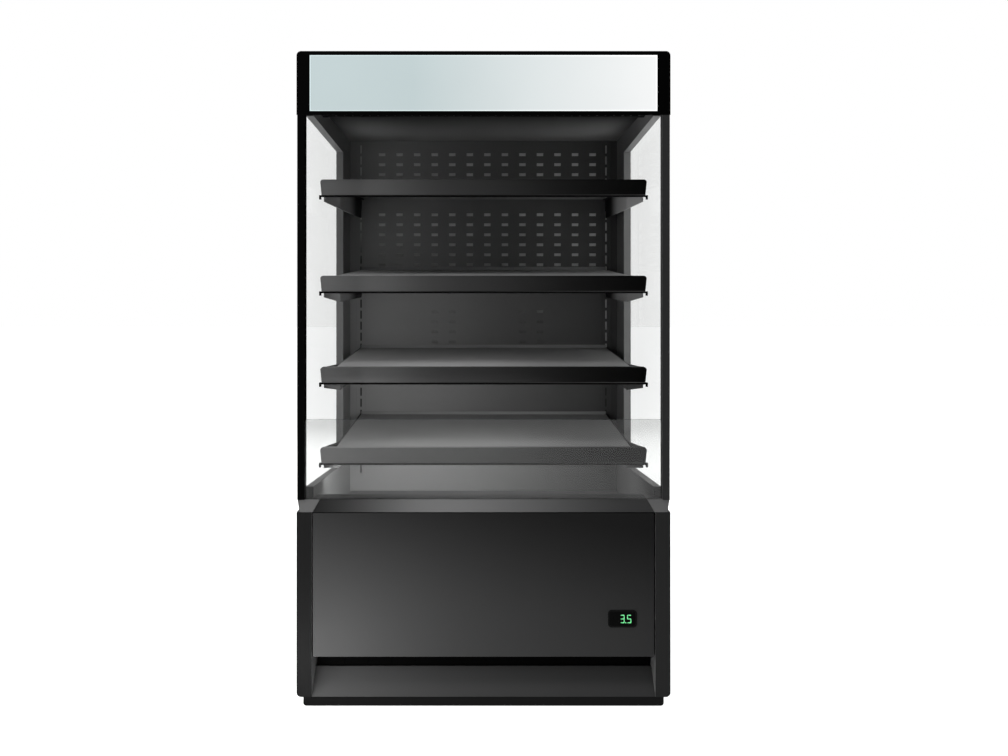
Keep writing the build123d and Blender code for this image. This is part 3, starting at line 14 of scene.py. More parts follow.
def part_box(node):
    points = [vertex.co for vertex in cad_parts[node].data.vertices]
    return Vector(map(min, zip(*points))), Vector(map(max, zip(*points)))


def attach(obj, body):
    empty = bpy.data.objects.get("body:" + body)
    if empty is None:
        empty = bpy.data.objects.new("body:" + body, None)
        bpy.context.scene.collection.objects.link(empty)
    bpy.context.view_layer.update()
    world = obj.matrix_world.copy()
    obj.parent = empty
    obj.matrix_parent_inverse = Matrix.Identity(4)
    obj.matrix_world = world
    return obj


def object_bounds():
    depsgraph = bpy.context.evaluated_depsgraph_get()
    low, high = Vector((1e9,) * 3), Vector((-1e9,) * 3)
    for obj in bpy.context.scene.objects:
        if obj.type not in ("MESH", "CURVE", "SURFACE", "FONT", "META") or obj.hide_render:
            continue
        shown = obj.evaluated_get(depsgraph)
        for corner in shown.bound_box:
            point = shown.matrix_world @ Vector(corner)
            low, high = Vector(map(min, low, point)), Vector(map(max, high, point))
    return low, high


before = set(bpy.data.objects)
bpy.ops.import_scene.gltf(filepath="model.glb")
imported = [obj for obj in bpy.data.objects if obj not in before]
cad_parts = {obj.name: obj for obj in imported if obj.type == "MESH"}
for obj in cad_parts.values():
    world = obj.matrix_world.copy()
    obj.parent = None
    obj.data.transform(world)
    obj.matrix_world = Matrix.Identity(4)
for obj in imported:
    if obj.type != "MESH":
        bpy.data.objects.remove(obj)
cad_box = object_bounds()
print("CAD box", [[round(v, 4) for v in corner] for corner in cad_box])

# %% [markdown]
# ## Camera
# The photograph looks straight at the front, with the eye a little above the middle. A camera that looks
# level keeps every upright line upright. Lens shift then slides the picture down and sideways, as a
# product photographer does with a shift lens, so that the cabinet sits where the photograph has it.

# %% Camera
image_width = 1008
pixels_per_metre = 374.0          # at the front of the cabinet, which is 1 m wide
camera_distance = 2.0             # from the front of the cabinet
camera_height = 1.115
cabinet_centre_px = 483.5
horizon_px = 290.0
image_height = 756
sensor = 36.0

camera_data = bpy.data.cameras.new("camera")
camera_data.sensor_width = sensor
camera_data.lens = pixels_per_metre * camera_distance / image_width * sensor
camera_data.shift_x = (image_width / 2 - cabinet_centre_px) / image_width
camera_data.shift_y = -(image_height / 2 - horizon_px) / image_width
camera = bpy.data.objects.new("camera", camera_data)
bpy.context.scene.collection.objects.link(camera)
camera.location = (0, cad_box[0][1] - camera_distance, camera_height)
camera.rotation_euler = (math.radians(90), 0, 0)
bpy.context.scene.camera = camera
bpy.context.scene.view_settings.view_transform = "Standard"
print("lens", round(camera_data.lens, 2),
      "shift", round(camera_data.shift_x, 4), round(camera_data.shift_y, 4))

# %% [markdown]
# ## Light
# Dark satin panels show where the light comes from more than their own colour. The photograph's cabinet is
# lighter at its left and at its foot, so a tall soft box stands at the left of the front, and two low strips
# wash the panel from the floor. One lamp high in front lights the fronts of the shelves and leaves their
# backs in the shade of the shelf above, and a faint one lower down points inside. Each bay has a small lamp,
# and four wide ones light the sides, the back and the top. All of them are soft, and none is seen by the
# camera or through glass.

# %% Lamps
lamps = [
    # name, place, aimed at, width, height, power in watts
    ("left_soft_box", (-0.9, -0.65, 0.95), (0.1, -0.3, 0.95), 0.2, 1.5, 9.5),
    ("floor_wash_left", (-0.5, -0.65, 0.06), (-0.2, -0.35, 0.35), 0.3, 0.08, 2.4),
    ("floor_wash", (0.0, -0.8, 0.06), (0.0, -0.35, 0.3), 1.1, 0.08, 0.8),
    ("inside", (-0.4, -0.8, 0.7), (0.1, 0.2, 0.75), 0.1, 0.4, 0.5),
    ("high_front", (-0.4, -0.9, 2.4), (0.0, -0.1, 0.8), 0.5, 0.5, 13.0),
    ("bay_1", (0.0, 0.0, 1.46), (0.0, 0.1, 1.62), 0.7, 0.04, 0.06),
    ("bay_2", (-0.15, -0.25, 1.03), (-0.15, 0.1, 0.95), 0.5, 0.03, 0.35),
    ("bay_3", (-0.1, -0.25, 0.81), (-0.1, 0.1, 0.72), 0.6, 0.03, 0.8),
    ("bay_4", (-0.05, -0.2, 0.62), (-0.05, 0.1, 0.48), 0.7, 0.04, 3.3),
    ("left_side", (-3.0, 1.6, 1.4), (-0.5, 0.1, 0.9), 2.0, 2.0, 50.0),
    ("right_side", (2.6, 0.3, 1.2), (-0.3, 0.1, 1.0), 1.6, 1.6, 40.0),
    ("behind", (0.0, 3.2, 1.8), (0.0, 0.35, 0.9), 2.4, 2.0, 80.0),
    ("over", (0.0, 0.8, 4.2), (0.0, 0.4, 1.7), 1.6, 1.6, 40.0),
]
# the glass would mirror these as bright squares, which the photograph doesn't show
unmirrored = ("inside", "high_front", "left_soft_box", "floor_wash", "floor_wash_left")
for name, place, target, width, height, power in lamps:
    lamp_data = bpy.data.lights.new(name, "AREA")
    lamp_data.shape = "RECTANGLE"
    lamp_data.size = width
    lamp_data.size_y = height
    lamp_data.energy = power
    lamp = bpy.data.objects.new(name, lamp_data)
    bpy.context.scene.collection.objects.link(lamp)
    lamp.location = place
    aim = Vector(target) - Vector(place)
    lamp.rotation_euler = aim.to_track_quat("-Z", "Y").to_euler()
    lamp.visible_camera = False
    lamp.visible_transmission = False
    lamp.visible_glossy = name not in unmirrored and not name.startswith("bay")
print(len(lamps), "lamps")

# %% [markdown]
# ## Helpers for node materials
# Every finish is built from nodes. These helpers add a node, fill its sockets with plain values or with what
# another node puts out, and hand back its result, so that each material below reads as a short recipe.

# %% Node helpers
def put(tree, value, socket):
    """Links an output socket to an input socket, or sets the input to a plain value."""
    if isinstance(value, bpy.types.NodeSocket):
        tree.links.new(value, socket)
    else:
        socket.default_value = value


def add_node(tree, kind, **values):
    """A node with its properties set; a name that is a socket's fills that socket instead."""
    node = tree.nodes.new(kind)
    for key, value in values.items():
        socket = node.inputs.get(key.replace("_", " "))
        if hasattr(node, key) and key not in ("inputs", "outputs"):
            setattr(node, key, value)
        elif socket is not None:
            put(tree, value, socket)
        else:
            raise ValueError(f"{kind} has no {key}")
    return node


def maths(tree, operation, *values):
    """The result of a Math node on sockets or numbers."""
    node = add_node(tree, "ShaderNodeMath", operation=operation)
    for socket, value in zip(node.inputs, values):
        put(tree, value, socket)
    return node.outputs[0]


def vector_maths(tree, operation, first, second=None):
    """The result of a Vector Math node: a vector, or a number where the operation gives one."""
    node = add_node(tree, "ShaderNodeVectorMath", operation=operation)
    put(tree, first, node.inputs[0])
    if second is not None:
        put(tree, second, node.inputs["Scale" if operation == "SCALE" else 1])
    return node.outputs["Value" if operation in ("DOT_PRODUCT", "LENGTH") else "Vector"]


def spread(tree, value, low, high, **values):
    """A value between two limits, spread from 0 to 1 unless To_Min and To_Max say otherwise."""
    node = add_node(tree, "ShaderNodeMapRange", Value=value, From_Min=low, From_Max=high, **values)
    return node.outputs["Result"]


def mix_colours(tree, factor, first, second):
    """Mixes two colours by a factor; each is an output socket or a plain value. Returns the colour put out."""
    node = add_node(tree, "ShaderNodeMix", data_type="RGBA")
    put(tree, factor, node.inputs[0])
    put(tree, first, node.inputs[6])
    put(tree, second, node.inputs[7])
    return node.outputs[2]


def object_place(tree):
    """The point being shaded, in the cabinet's own metres."""
    return add_node(tree, "ShaderNodeTexCoord").outputs["Object"]


def axis(tree, vector, name):
    """A vector's X, Y or Z."""
    return add_node(tree, "ShaderNodeSeparateXYZ", Vector=vector).outputs[name]


def surface_normal(tree):
    """The way that the surface faces."""
    return add_node(tree, "ShaderNodeNewGeometry").outputs["Normal"]


def grey(level):
    """A neutral colour, from an 8-bit screen level to linear light."""
    value = level / 255
    linear = value / 12.92 if value <= 0.04045 else ((value + 0.055) / 1.055) ** 2.4
    return (linear, linear, linear, 1.0)


def new_material(name, **values):
    """A material with a Principled shader, and constants on the shader's own sockets."""
    material = bpy.data.materials.new(name)
    material.use_nodes = True
    tree = material.node_tree
    shader = tree.nodes["Principled BSDF"]
    for key, value in values.items():
        shader.inputs[key.replace("_", " ")].default_value = value
    return material, tree, shader


def dress(material, *names):
    """Gives CAD nodes a material."""
    for name in names:
        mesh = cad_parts[name].data
        mesh.materials.clear()
        mesh.materials.append(material)


def finish_of(material):
    """A material's tree, its shader, and what feeds the shader's colour."""
    tree = material.node_tree
    shader = tree.nodes["Principled BSDF"]
    return tree, shader, shader.inputs["Base Color"].links[0].from_socket


print("grey 64 is", round(grey(64)[0], 4))

# %% [markdown]
# ## Shared effects
# Powder coat is a baked paint with a fine orange-peel grain, and it is never perfectly even. The effect is
# used by many parts, so it is a node group with named inputs: a colour, how coarse the grain is, how much the
# colour drifts, and how worn the edges are. It puts out a colour, a roughness and a height.

# %% Powder coat group
def new_group(name, inputs, outputs):
    """A node group with its sockets made; returns the tree and its two end nodes."""
    tree = bpy.data.node_groups.new(name, "ShaderNodeTree")
    for title, kind, value in inputs:
        socket = tree.interface.new_socket(title, in_out="INPUT", socket_type=kind)
        socket.default_value = value
    for title, kind in outputs:
        tree.interface.new_socket(title, in_out="OUTPUT", socket_type=kind)
    return tree, tree.nodes.new("NodeGroupInput"), tree.nodes.new("NodeGroupOutput")


edge_radius = 0.0016              # wear shows within this of an edge
full_wear_turn = 0.85             # the cosine of the turn at which an edge is fully worn
gloss_drift = 0.18                # how far roughness follows the drift of the colour


def varied(tree, colour, centred, strength):
    """A colour made a little lighter and darker by a pattern that is centred on 0."""
    return vector_maths(tree, "SCALE", colour, maths(tree, "MULTIPLY_ADD", centred, strength, 1.0))


def powder_coat_group():
    """Colour drift, orange peel and light wear on the edges."""
    tree, start, end = new_group(
        "Powder coat",
        [("Color", "NodeSocketColor", grey(60)), ("Roughness", "NodeSocketFloat", 0.45),
         ("Grain", "NodeSocketFloat", 900.0), ("Drift", "NodeSocketFloat", 0.12),
         ("Wear", "NodeSocketFloat", 0.25)],
        [("Color", "NodeSocketColor"), ("Roughness", "NodeSocketFloat"), ("Height", "NodeSocketFloat")])
    place = object_place(tree)
    peel = add_node(tree, "ShaderNodeTexNoise", Vector=place, Scale=start.outputs["Grain"], Detail=2.0,
                    Roughness=0.6)
    cloud = add_node(tree, "ShaderNodeTexNoise", Vector=place, Scale=3.5, Detail=3.0, Roughness=0.55)
    centred = maths(tree, "SUBTRACT", cloud.outputs["Fac"], 0.5)
    tint = varied(tree, start.outputs["Color"], centred, start.outputs["Drift"])
    # an edge is where the normal of a rounded surface turns away from the flat one
    rounded = add_node(tree, "ShaderNodeBevel", samples=4, Radius=edge_radius)
    turn = vector_maths(tree, "DOT_PRODUCT", rounded.outputs["Normal"], surface_normal(tree))
    worn = maths(tree, "MULTIPLY", spread(tree, turn, 1.0, full_wear_turn), start.outputs["Wear"])
    put(tree, mix_colours(tree, worn, tint, grey(96)), end.inputs["Color"])
    gloss = maths(tree, "MULTIPLY_ADD", centred, gloss_drift, start.outputs["Roughness"])
    put(tree, gloss, end.inputs["Roughness"])
    put(tree, peel.outputs["Fac"], end.inputs["Height"])
    return tree


powder_coat = powder_coat_group()
print("group", powder_coat.name, "with", len(powder_coat.nodes), "nodes")

# %% [markdown]
# Bare metal has a direction: rolling and brushing draw it out in fine lines. Noise that is stretched along
# one axis gives those lines, and the group has an input for the stretch.

# %% Drawn metal group
patch_scale = 70.0                # patches to a metre
line_gloss = 0.2                  # how far roughness follows the lines


def drawn_metal_group():
    """Fine lines along X for rolled, brushed or galvanised metal, with cloudy patches between them."""
    tree, start, end = new_group(
        "Drawn metal",
        [("Color", "NodeSocketColor", grey(180)), ("Roughness", "NodeSocketFloat", 0.35),
         ("Stretch", "NodeSocketVector", (6.0, 300.0, 300.0)), ("Patches", "NodeSocketFloat", 0.15)],
        [("Color", "NodeSocketColor"), ("Roughness", "NodeSocketFloat"), ("Height", "NodeSocketFloat")])
    place = object_place(tree)
    stretched = vector_maths(tree, "MULTIPLY", place, start.outputs["Stretch"])
    lines = add_node(tree, "ShaderNodeTexNoise", Vector=stretched, Scale=1.0, Detail=3.0).outputs["Fac"]
    patches = add_node(tree, "ShaderNodeTexVoronoi", Vector=place, Scale=patch_scale)
    patch = add_node(tree, "ShaderNodeSeparateColor", Color=patches.outputs["Color"]).outputs["Red"]
    centred = maths(tree, "SUBTRACT", patch, 0.5)
    put(tree, varied(tree, start.outputs["Color"], centred, start.outputs["Patches"]), end.inputs["Color"])
    gloss = maths(tree, "MULTIPLY_ADD", lines, line_gloss, start.outputs["Roughness"])
    put(tree, gloss, end.inputs["Roughness"])
    put(tree, lines, end.inputs["Height"])
    return tree


drawn_metal = drawn_metal_group()
print("group", drawn_metal.name, "with", len(drawn_metal.nodes), "nodes")

# %% [markdown]
# A finish is a material that takes its colour, roughness and relief from one of the groups. The dark surfaces
# each darken slowly from one side to the other, further than soft lamps take them, so a second helper paints
# that light and shade into a finish: it multiplies the colour by a row of factors along a direction.

# %% A finish from a group
def coated(name, group, settings, bump=0.0004, strength=0.15, **shader_values):
    """A material whose colour, roughness and fine relief come from one shared group."""
    material, tree, shader = new_material(name, **shader_values)
    effect = tree.nodes.new("ShaderNodeGroup")
    effect.node_tree = group
    for key, value in settings.items():
        effect.inputs[key].default_value = value
    put(tree, effect.outputs["Color"], shader.inputs["Base Color"])
    put(tree, effect.outputs["Roughness"], shader.inputs["Roughness"])
    relief = add_node(tree, "ShaderNodeBump", Distance=bump, Strength=strength, Height=effect.outputs["Height"])
    put(tree, relief.outputs["Normal"], shader.inputs["Normal"])
    return material


def paint_shading(material, along, start, end, levels):
    """Paints light and shade into a material's colour: multiplies it by a smooth row of factors, laid out along
    a direction in the object.
    """
    tree, shader, colour = finish_of(material)
    reach = vector_maths(tree, "DOT_PRODUCT", object_place(tree), along)
    ramp = add_node(tree, "ShaderNodeValToRGB", Fac=spread(tree, reach, start, end))
    ramp.color_ramp.interpolation = "B_SPLINE" if len(levels) > 2 else "LINEAR"
    while len(ramp.color_ramp.elements) < len(levels):
        ramp.color_ramp.elements.new(0.5)
    for number, level in enumerate(levels):
        stop = ramp.color_ramp.elements[number]
        stop.position = number / (len(levels) - 1)
        stop.color = (level, level, level, 1.0)
    put(tree, vector_maths(tree, "MULTIPLY", colour, ramp.outputs["Color"]), shader.inputs["Base Color"])
    return material


# %% [markdown]
# ## Painted sheet metal
# The frame round the sign is nearly black, and the panels are a satin charcoal. Each gets its own values in
# the powder coat group. The dark paints reflect little, so their specular level is low.

# %% Directions and reaches of the painted light and shade
along_x, along_y, along_z = (1, 0, 0), (0, 1, 0), (0, 0, 1)
half_plinth, half_nose, half_inside = 0.48, 0.47, 0.45
print("tones run across", 2 * half_plinth, 2 * half_nose, "and", 2 * half_inside, "m")

# %% Black and charcoal paint
header_paint = coated("header paint", powder_coat, {"Color": grey(3), "Roughness": 0.5, "Wear": 0.01},
                      Specular_IOR_Level=0.01)
dress(header_paint, "header_box", "front_post_left", "roof_panel")
# painted light: the right front post is a lighter grey copy of the black paint on the left post and header
right_post_painted_light = coated("right post painted light", powder_coat, {"Color": grey(52), "Roughness": 0.45, "Wear": 0.1},
                    Specular_IOR_Level=0.08)
dress(right_post_painted_light, "front_post_right")
plinth_paint = coated("plinth paint", powder_coat, {"Color": grey(22), "Roughness": 0.5, "Wear": 0.02},
                      Specular_IOR_Level=0.05)
# painted shade: the plinth's colour darkens towards the left
paint_shading(plinth_paint, along_x, -half_plinth, half_plinth, (0.25, 0.6, 1.0))
dress(plinth_paint, "base_frame")
end_paint = coated("end frame paint", powder_coat, {"Color": grey(50), "Roughness": 0.42, "Wear": 0.12},
                   Specular_IOR_Level=0.12)
dress(end_paint, "back_wall")
panel_paint = coated("service panel paint", powder_coat,
                     {"Color": grey(61), "Roughness": 0.4, "Drift": 0.06, "Wear": 0.08},
                     Specular_IOR_Level=0.03)
# painted shade: the service panel's colour darkens upwards and a little to the right
panel_shade_direction = (0.15, 0, 1)         # upwards, and a little to the right
panel_shade_start, panel_shade_end = 0.1, 0.54
dress(paint_shading(panel_paint, panel_shade_direction, panel_shade_start, panel_shade_end, (1.0, 0.85, 0.2)), "front_panel")
kick_paint = coated("kick plate paint", powder_coat, {"Color": grey(58), "Roughness": 0.4, "Wear": 0.08},
                    Specular_IOR_Level=0.06)
dress(kick_paint, "kick_panel")
nose_paint = coated("nose paint", powder_coat, {"Color": grey(112), "Roughness": 0.42, "Wear": 0.02},
                    Specular_IOR_Level=0.05)
# painted highlight: the nose rail is light in the middle and darkens towards both ends, most at the left
nose_painted_highlight = (0.02, 0.2, 0.95, 1.0, 0.75, 0.4, 0.3)
dress(paint_shading(nose_paint, along_x, -half_nose, half_nose, nose_painted_highlight), "nose_rail")
print("painted the carcass")

# %% [markdown]
# Each end frame is one CAD node with several finishes: a charcoal skin outside, a dark edge at the front, and
# grey on the window's reveal and on the lining. The material tells them apart by where a point lies and which
# way it faces. The two ends are copies with different greys, painted light and shade: the left has the darker
# front edge and the lighter lining, and the right has the lighter reveal.

# %% End frame paint
window_front_y, window_back_y = -0.3245, 0.1015
end_inner_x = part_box("end_frame_right")[0][0]
side_pane_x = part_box("side_glass_right")[0][0]
lining_depth = 0.0005             # a point this near to the inner face is on the lining
sideways_limit = 0.5              # a face whose normal has less X than this looks forward, back, up or down


def end_frame_paint(side_name, edge_level, band_level, lining_level):
    """Charcoal skin, with other greys on the front edge, the window's reveal and the lining."""
    material = coated(f"end frame skin {side_name}", powder_coat,
                      {"Color": grey(50), "Roughness": 0.42, "Wear": 0.05}, Specular_IOR_Level=0.06)
    tree, shader, skin = finish_of(material)
    place = object_place(tree)
    side, depth = maths(tree, "ABSOLUTE", axis(tree, place, "X")), axis(tree, place, "Y")
    sideways = maths(tree, "ABSOLUTE", axis(tree, surface_normal(tree), "X"))
    turned_off = maths(tree, "LESS_THAN", sideways, sideways_limit)
    reveal = turned_off
    for value, operation, limit in ((side, "LESS_THAN", side_pane_x), (depth, "GREATER_THAN", window_front_y),
                                    (depth, "LESS_THAN", window_back_y)):
        reveal = maths(tree, "MULTIPLY", reveal, maths(tree, operation, value, limit))
    banded = mix_colours(tree, reveal, skin, grey(band_level))
    inside = maths(tree, "LESS_THAN", side, end_inner_x + lining_depth)
    lined = mix_colours(tree, inside, banded, grey(lining_level))
    front_edge = maths(tree, "MULTIPLY", maths(tree, "LESS_THAN", depth, window_front_y), turned_off)
    put(tree, mix_colours(tree, front_edge, lined, grey(edge_level)), shader.inputs["Base Color"])
    return material


# painted light and shade: the two ends get different greys for the front edge, the reveal and the lining
dress(end_frame_paint("left", 17, 114, 120), "end_frame_left")
dress(end_frame_paint("right", 42, 132, 94), "end_frame_right")
print("painted the ends; their inner faces are at", round(end_inner_x, 4))

# %% [markdown]
# ## Lining, shelves and deck
# The lining is pre-painted steel, with painted shade that darkens it from left to right, and the ceiling has
# painted shade that darkens it towards the front. The shelves and the deck have a coarser, tougher coat,
# because packs slide over them all day.

# %% Lining paint
lining_paint = coated("lining paint", powder_coat, {"Color": grey(148), "Roughness": 0.45, "Wear": 0.1},
                      Specular_IOR_Level=0.06)
# painted shade: the lining darkens from left to right
paint_shading(lining_paint, along_x, -half_inside, half_inside, (1.0, 0.45, 0.21))
dress(lining_paint, "tub", "upright_left", "upright_right")
ceiling_paint = coated("ceiling paint", powder_coat, {"Color": grey(160), "Roughness": 0.5, "Wear": 0.02},
                       Specular_IOR_Level=0.02)
# painted shade: the ceiling darkens towards the front
ceiling_dark_y, ceiling_light_y = -0.13, 0.14
dress(paint_shading(ceiling_paint, along_y, ceiling_dark_y, ceiling_light_y, (0.05, 0.9)), "ceiling_panel")
print("lined the inside")

# %% [markdown]
# The louvres' hoods carry a painted highlight, a light grey near the top that fades out lower down, and the
# change lies higher at the left. They stand out from the wall by a little, so the material finds them by their
# depth.

# %% Louvred wall paint
wall_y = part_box("upright_right")[0][1]
hood_proud = 0.0004
hood_highlight_direction = (0.35, 0, 1)          # upwards, and a little to the right
hood_no_highlight, hood_full_highlight = 1.08, 1.24


def louvred_paint():
    """The lining's paint, with a painted highlight in light grey on the hoods of the upper louvres; it fades
    out on the lower ones.
    """
    material = lining_paint.copy()
    material.name = "louvred wall paint"
    tree, shader, colour = finish_of(material)
    place = object_place(tree)
    hood = maths(tree, "LESS_THAN", axis(tree, place, "Y"), wall_y - hood_proud)
    fade = spread(tree, vector_maths(tree, "DOT_PRODUCT", place, hood_highlight_direction), hood_no_highlight, hood_full_highlight)
    # painted highlight: light grey on the hoods, fading out lower down
    light = maths(tree, "MULTIPLY", hood, fade)
    put(tree, mix_colours(tree, light, colour, grey(188)), shader.inputs["Base Color"])
    return material


dress(louvred_paint(), "back_panel")
print("the wall is at", round(wall_y, 4))

# %% Shelf and bracket paint
shelf_paint = coated("shelf paint", powder_coat,
                     {"Color": grey(126), "Roughness": 0.4, "Grain": 700.0, "Wear": 0.1},
                     Specular_IOR_Level=0.06)
dress(shelf_paint, "shelf_pan_1", "shelf_pan_2", "shelf_pan_3", "shelf_pan_4")
deck_paint = coated("deck paint", powder_coat,
                    {"Color": grey(100), "Roughness": 0.4, "Grain": 700.0, "Wear": 0.2},
                    Specular_IOR_Level=0.06)
dress(deck_paint, "deck_pan", "return_grille")
bracket_paint = coated("bracket paint", powder_coat, {"Color": grey(135), "Roughness": 0.45, "Wear": 0.05},
                       Specular_IOR_Level=0.05)
bracket_low_z, bracket_high_z = 0.8, 1.35
bracket_front_y, bracket_rear_y = 0.0, 0.12
# painted shade: the brackets darken downwards and towards the rear
paint_shading(bracket_paint, along_z, bracket_low_z, bracket_high_z, (0.3, 1.0))
paint_shading(bracket_paint, along_y, bracket_front_y, bracket_rear_y, (1.0, 0.03))
dress(bracket_paint, "shelf_brackets_left", "shelf_brackets_right")
print("painted the inside")

# %% [markdown]
# ## Price rails
# Each shelf ends in an extruded plastic rail with a black light rail clipped under it. The two are one CAD
# node, so the material tells them apart: a point whose height, measured square to the tilted shelf, lies below
# the rail's lower edge is black. The rail itself has painted shade that deepens its tone from left to right,
# and a painted highlight, a thin bright line, marks its lower edge towards the right.

# %% Price rail plastic
shelf_length = 0.428
shelf_front_y = -0.218
strip_height = 0.0445
shelf_front_z = (1.429, 1.156, 0.897, 0.669)
shelf_drop = (0.021, 0.028, 0.021, 0.021)
# each rail's tone, and the painted shade that deepens it from left to right; the lowest one, seen through the
# front glass, is painted lighter as painted light
rail_levels = (112, 112, 112, 190)
upper_rail_shade = (1.0, 0.24, 0.22, 0.06, 0.0)
rail_painted_shade = (upper_rail_shade, upper_rail_shade, upper_rail_shade, (0.52, 0.27, 0.25, 0.08, 0.01))
highlight_line = 0.0015              # the height of the painted highlight line at the rail's lower edge
highlight_full_x = 0.4          # it grows from the middle to here


def price_rail_plastic(number):
    """Charcoal plastic over a black lower rail, split square to the shelf's slope, with painted shade from left
    to right and a painted highlight line.
    """
    material = coated(f"price rail {number + 1}", powder_coat,
                      {"Color": grey(rail_levels[number]), "Roughness": 0.4, "Grain": 1400.0, "Wear": 0.02},
                      bump=0.0002, Specular_IOR_Level=0.02)
    paint_shading(material, along_x, -half_inside, half_inside, rail_painted_shade[number])
    tree, shader, colour = finish_of(material)
    slope = math.asin(shelf_drop[number] / shelf_length)
    up = Vector((0, -math.sin(slope), math.cos(slope)))
    edge = up.dot(Vector((0, shelf_front_y, shelf_front_z[number]))) - strip_height
    place = object_place(tree)
    height = vector_maths(tree, "DOT_PRODUCT", place, up)
    growth = spread(tree, axis(tree, place, "X"), 0.0, highlight_full_x)
    bright = mix_colours(tree, growth, colour, grey(95))
    on_line = maths(tree, "LESS_THAN", height, edge + highlight_line)
    lipped = mix_colours(tree, on_line, colour, bright)
    below = maths(tree, "LESS_THAN", height, edge)
    put(tree, mix_colours(tree, below, lipped, grey(3)), shader.inputs["Base Color"])
    return material


for number in range(4):
    dress(price_rail_plastic(number), f"ticket_strip_{number + 1}")
print("four price rails, tilted", [round(math.degrees(math.asin(d / shelf_length)), 2) for d in shelf_drop])

# %% [markdown]
# ## Glass
# Toughened glass is clear and a little grey, and it always carries a few faint wipe marks. They live in the
# roughness, so that they show only where the glass catches light.

# %% Glass
wipe_low, wipe_high = 0.45, 0.8   # how much of the noise shows as wipe marks
wipe_roughness = 0.03
wipe_dimming = 0.98
glass_edge = (0.02, 0.03, 0.03, 1.0)
edge_limit = 0.6                  # a face whose normal has less of the pane's axis than this is a cut edge


def clear_glass(name, tint, across, **shader_values):
    """Clear glass with soft wipe marks; its cut edges, which face off the axis across the pane, are darker."""
    material, tree, shader = new_material(name, Transmission_Weight=1.0, Specular_IOR_Level=0.5,
                                          **shader_values)
    wipes = add_node(tree, "ShaderNodeTexNoise", Vector=object_place(tree), Scale=4.0, Detail=4.0,
                     Distortion=1.5).outputs["Fac"]
    put(tree, spread(tree, wipes, wipe_low, wipe_high, To_Max=wipe_roughness), shader.inputs["Roughness"])
    wiped = [level * wipe_dimming for level in tint]
    shade = mix_colours(tree, wipes, (*tint, 1.0), (*wiped, 1.0))
    square_on = maths(tree, "ABSOLUTE", vector_maths(tree, "DOT_PRODUCT", surface_normal(tree), across))
    edge = maths(tree, "LESS_THAN", square_on, edge_limit)
    put(tree, mix_colours(tree, edge, shade, glass_edge), shader.inputs["Base Color"])
    return material


dress(clear_glass("front glass", (0.73, 0.735, 0.73), along_y, IOR=1.33), "front_glass")
dress(clear_glass("side glass", (0.99, 1.0, 0.995), along_x, IOR=1.08), "side_glass_left", "side_glass_right")
print("three panes of glass")

# %% [markdown]
# ## Sign and light battens
# The sign is a milky acrylic sheet, lit from behind. A ramp along X paints light into its glow, cooler at its
# left end and white at its right, and a faint cloudiness breaks it up. Nearly all of its tone is its own glow,
# and the surface itself reflects little.

# %% Sign acrylic
sign_low, sign_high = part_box("sign_panel")
# painted light: the sign's glow is cool grey at the left and white at the right
cool_end, white_end = (0.47, 0.55, 0.56, 1.0), (0.86, 0.87, 0.87, 1.0)
cool_until = 0.3                  # the share of the sign's width that stays cool
cloud_low, cloud_high = 0.97, 1.03
unlit_share = 0.12                # the sheet's own colour, as a share of its glow


def sign_acrylic(name, glow_strength):
    """Milky sheet with painted light: its glow runs from cool grey on the left to white on the right."""
    material, tree, shader = new_material(name, Roughness=0.3, Specular_IOR_Level=0.3,
                                          Emission_Strength=glow_strength)
    place = object_place(tree)
    ramp = add_node(tree, "ShaderNodeValToRGB",
                    Fac=spread(tree, axis(tree, place, "X"), sign_low[0], sign_high[0]))
    first, last = ramp.color_ramp.elements
    first.position, first.color = cool_until, cool_end
    last.position, last.color = 1.0, white_end
    cloud = add_node(tree, "ShaderNodeTexNoise", Vector=place, Scale=5.0, Detail=2.0).outputs["Fac"]
    soft = spread(tree, cloud, 0.0, 1.0, To_Min=cloud_low, To_Max=cloud_high)
    tone = vector_maths(tree, "SCALE", ramp.outputs["Color"], soft)
    put(tree, vector_maths(tree, "SCALE", tone, unlit_share), shader.inputs["Base Color"])
    put(tree, tone, shader.inputs["Emission Color"])
    return material


dress(sign_acrylic("sign acrylic", 0.98), "sign_panel")
batten_plastic = coated("batten diffuser", powder_coat, {"Color": grey(225), "Roughness": 0.5, "Wear": 0.0},
                        Specular_IOR_Level=0.4)
dress(batten_plastic, "led_battens")
print("sign is", round(sign_high[0] - sign_low[0], 3), "m wide")

# %% [markdown]
# ## Plastics and rubber
# Moulded plastic has a finer, sharper grain than paint. The end caps of the nose are a mid grey, and the
# thermostat, the switches and the gland are black.

# %% Plastics and rubber
cap_plastic = coated("cap plastic", powder_coat, {"Color": grey(118), "Roughness": 0.5, "Grain": 1600.0},
                     bump=0.0002, Specular_IOR_Level=0.1)
# painted shade: the nose caps' colour darkens towards the left
paint_shading(cap_plastic, along_x, -half_inside, half_inside, (0.42, 1.0))
dress(cap_plastic, "nose_caps")
black_plastic = coated("black plastic", powder_coat, {"Color": grey(8), "Roughness": 0.3, "Grain": 1600.0,
                                                      "Wear": 0.02}, bump=0.0002, Specular_IOR_Level=0.05)
dress(black_plastic, "controller", "power_switch", "light_switch", "cable_gland")
lens_plastic = coated("lens plastic", powder_coat, {"Color": grey(3), "Roughness": 0.12, "Grain": 300.0,
                                                    "Wear": 0.0}, bump=0.0001, strength=0.05,
                      Specular_IOR_Level=0.03)
dress(lens_plastic, "display_window")
comb_plastic = coated("honeycomb plastic", powder_coat, {"Color": grey(16), "Roughness": 0.5, "Grain": 1600.0,
                                                         "Wear": 0.0}, bump=0.0002, Specular_IOR_Level=0.05)
dress(comb_plastic, "honeycomb")
fan_plastic = coated("fan plastic", powder_coat, {"Color": grey(44), "Roughness": 0.45, "Grain": 1600.0},
                     bump=0.0002)
